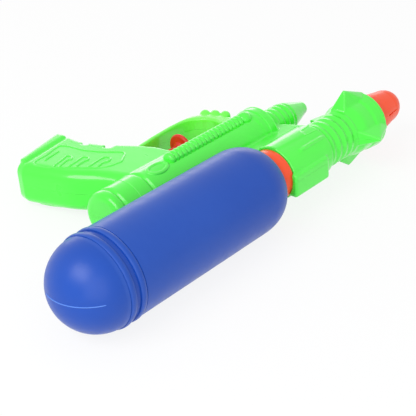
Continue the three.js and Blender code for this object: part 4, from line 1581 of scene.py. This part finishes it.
@dataclass
class ReturnSpring:
    """Steel spring behind the piston, built at its length while the trigger is at rest.

    Attributes:
        start: Place of the pump's floor, which the spring rests on.
        length: Room for the spring while the trigger is at rest.
        travel: How far the trigger goes back; not used.
        gap: Play at both ends.
        spans: Points for each turn.
    """

    start: float = 64.5
    length: float = 18.5
    travel: float = 10.0
    radius: float = 4.9
    wire: float = 0.45
    gap: float = 0.1
    turns: int = 6
    spans: int = 36

    def build(self, bench: Bench, finishes: Finishes) -> None:
        """Builds the spring.

        Args:
            bench: Where pieces are made.
            finishes: The toy's finishes.
        """
        first = self.start + self.wire + self.gap
        run = self.length - 2 * (self.wire + self.gap)
        count = self.turns * self.spans
        line = []
        for i in range(count + 1):
            turn = math.tau * i / self.spans
            across = (PUMP_DROP + self.radius * math.cos(turn), self.radius * math.sin(turn))
            line.append(Vector((first + run * i / count, *across)))
        mesh = Form().rod(line, self.wire, 12).mesh()
        made = bench.piece("spring_coil", mesh, finishes.steel, Body.SHELL, ["return_spring"])
        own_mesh(made)


@dataclass
class Screws:
    """Steel screws with cross slots, driven in from the right side.

    Attributes:
        shells: The body that the screws hold together.
        slot: Half length and half width of a slot.
        slot_depth: Local z of the slots' low and high ends.
    """

    shells: Shells
    head: float = 2.6
    shank: float = 1.2
    slot: tuple[float, float] = (1.7, 0.32)
    slot_depth: tuple[float, float] = (-8.0, -6.1)

    def build(self, bench: Bench, finishes: Finishes) -> None:
        """Builds all screws.

        Args:
            bench: Where pieces are made.
            finishes: The toy's finishes.
        """
        low, high = self.slot_depth
        for number, (x, y) in enumerate(self.shells.screws, 1):
            upright = Matrix.Translation((x, y, 0)) @ Matrix.Rotation(-QUARTER_TURN, 4, "Y")
            body = Form().turned([
                (-7.1, 0), (-7.1, 1.2), (-6.8, 2.1), (-6.2, self.head), (-5.1, self.head), (-5.1, self.shank),
                *rings(-4.6, 4.4, 9, 0.9, self.shank, 6), (6.0, 0.3), (6.0, 0),
            ], steps=32, place=upright).mesh()
            slots = [Form().block((x - a, y - b, low), (x + a, y + b, high)).mesh()
                     for a, b in (self.slot, self.slot[::-1])]
            mesh = Workshop.run(body, [*map(Workshop.cut, slots)])
            bench.piece(f"screw_{number}", mesh, finishes.steel, Body.SHELL, [f"shell_screw_{number}"])


@dataclass(frozen=True)
class Internals:
    """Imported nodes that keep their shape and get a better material."""

    rubber: tuple[str, ...] = ("tank_seal", "piston_seal")
    clear: tuple[str, ...] = ("dip_tube", "inlet_hose", "outlet_hose")
    grey: tuple[str, ...] = ("nozzle_jet", "pump_piston", "pump_cylinder", "inlet_valve_body", "inlet_valve_plug",
                             "outlet_valve_body", "outlet_valve_plug")
    steel: tuple[str, ...] = ("inlet_valve_ball", "outlet_valve_ball")

    def build(self, bench: Bench, finishes: Finishes) -> None:
        """Dresses the nodes.

        Args:
            bench: Where pieces are made.
            finishes: The toy's finishes.
        """
        for nodes, finish in ((self.rubber, finishes.rubber), (self.clear, finishes.clear),
                              (self.grey, finishes.grey), (self.steel, finishes.steel)):
            for node in nodes:
                bench.dress(node, finish)


@dataclass(frozen=True)
class Lamp:
    """A soft oblong lamp that faces the toy.

    Attributes:
        name: Name of the lamp.
        place: Its place in metres.
        size: Width and height in metres.
        power: Power in watts.
    """

    name: str
    place: Place
    size: tuple[float, float]
    power: float

    def hang(self) -> None:
        """Hangs the lamp."""
        light = bpy.data.lights.new(self.name, "AREA")
        light.shape = "RECTANGLE"
        light.size, light.size_y = self.size
        light.energy = self.power
        made = shown(self.name, light)
        made.location = self.place
        made.rotation_euler = (-Vector(self.place)).to_track_quat("-Z", "Y").to_euler()


@dataclass(frozen=True)
class Studio:
    """Pale floor, soft light and the camera at the photograph's angle.

    Attributes:
        camera: Place of the camera in metres.
        aim: Direction in which it looks.
        lens: Focal length in millimetres.
        sensor: Width of the picture plane in millimetres.
        world: Strength at which the surroundings light the toy.
        floor_reach: Half width of the floor in metres.
        floor_glow: Share of plain white where the floor is seen.
        lamps: The lamps.
    """

    camera: Place = (-0.373937, -0.349389, 0.316591)
    aim: Place = (0.633644, 0.558661, -0.535157)
    lens: float = 93.39
    sensor: float = 36.0
    world: float = 0.66
    floor_reach: float = 4.0
    floor_glow: float = 0.86
    lamps: tuple[Lamp, ...] = (
        Lamp("key_softbox", (-0.7, 0.0, 0.71), (0.6, 0.45), 4.4),
        Lamp("fill_softbox", (-0.8, -0.8, 0.45), (1.0, 1.0), 3.8),
        Lamp("back_strip", (0.62, 0.76, 0.17), (1.0, 0.3), 1.5),
    )

    def floor(self) -> None:
        """Lays a pale floor that stays near white and keeps a soft shadow."""
        part = bmesh.new()
        bmesh.ops.create_grid(part, x_segments=8, y_segments=8, size=self.floor_reach)
        mesh = bpy.data.meshes.new("floor")
        part.to_mesh(mesh)
        part.free()
        material = bpy.data.materials.new("pale_floor")
        material.use_nodes = True
        graph = Graph(material.node_tree)
        paper = graph.noise(graph.place(), 4.0, 3.0)
        tone = graph.mix(graph.span(paper, 0.3, 0.7, 0.0, 1.0), (0.95, 0.95, 0.95), (0.93, 0.93, 0.935))
        matt = graph.wire("ShaderNodeBsdfDiffuse", None, {"Color": tone})
        white = graph.wire("ShaderNodeEmission", None, {"Color": (1.0, 1.0, 1.0, 1.0), "Strength": 1.0})
        share = graph.span(graph.background_rays(), 0.0, 1.0, 0.0, self.floor_glow)
        graph.output(graph.wire("ShaderNodeMixShader", None, {0: share, 1: matt, 2: white}))
        mesh.materials.append(material)
        shown("floor", mesh)

    def surroundings(self) -> None:
        """Sets white surroundings that light the toy at a plain strength."""
        world = bpy.data.worlds.new("white_room")
        world.use_nodes = True
        graph = Graph(world.node_tree)
        strength = graph.span(graph.background_rays(), 0.0, 1.0, self.world, 1.0)
        room = graph.wire("ShaderNodeBackground", None, {"Color": (1.0, 1.0, 1.0, 1.0), "Strength": strength})
        graph.node("ShaderNodeOutputWorld", None, {"Surface": room})
        bpy.context.scene.world = world

    def build(self) -> None:
        """Builds floor, light and camera."""
        self.floor()
        self.surroundings()
        for lamp in self.lamps:
            lamp.hang()
        lens = bpy.data.cameras.new("photo_camera")
        lens.lens = self.lens
        lens.sensor_width = self.sensor
        made = shown("photo_camera", lens)
        made.location = self.camera
        made.rotation_euler = Vector(self.aim).to_track_quat("-Z", "Y").to_euler()
        scene = bpy.context.scene
        scene.camera = made
        scene.view_settings.view_transform = "Standard"


def main() -> None:
    """Builds the toy's pieces in order."""
    logging.basicConfig(level=logging.INFO, format="%(message)s")
    finishes = Finishes()
    bench = Bench(Lay())
    Studio().build()
    shells = Shells()
    for part in (Tank(), Socket(), shells, Lines(shells), Nozzle(), Trigger(), ReturnSpring(), Screws(shells),
                 Internals()):
        part.build(bench, finishes)


if __name__ == "__main__":
    main()
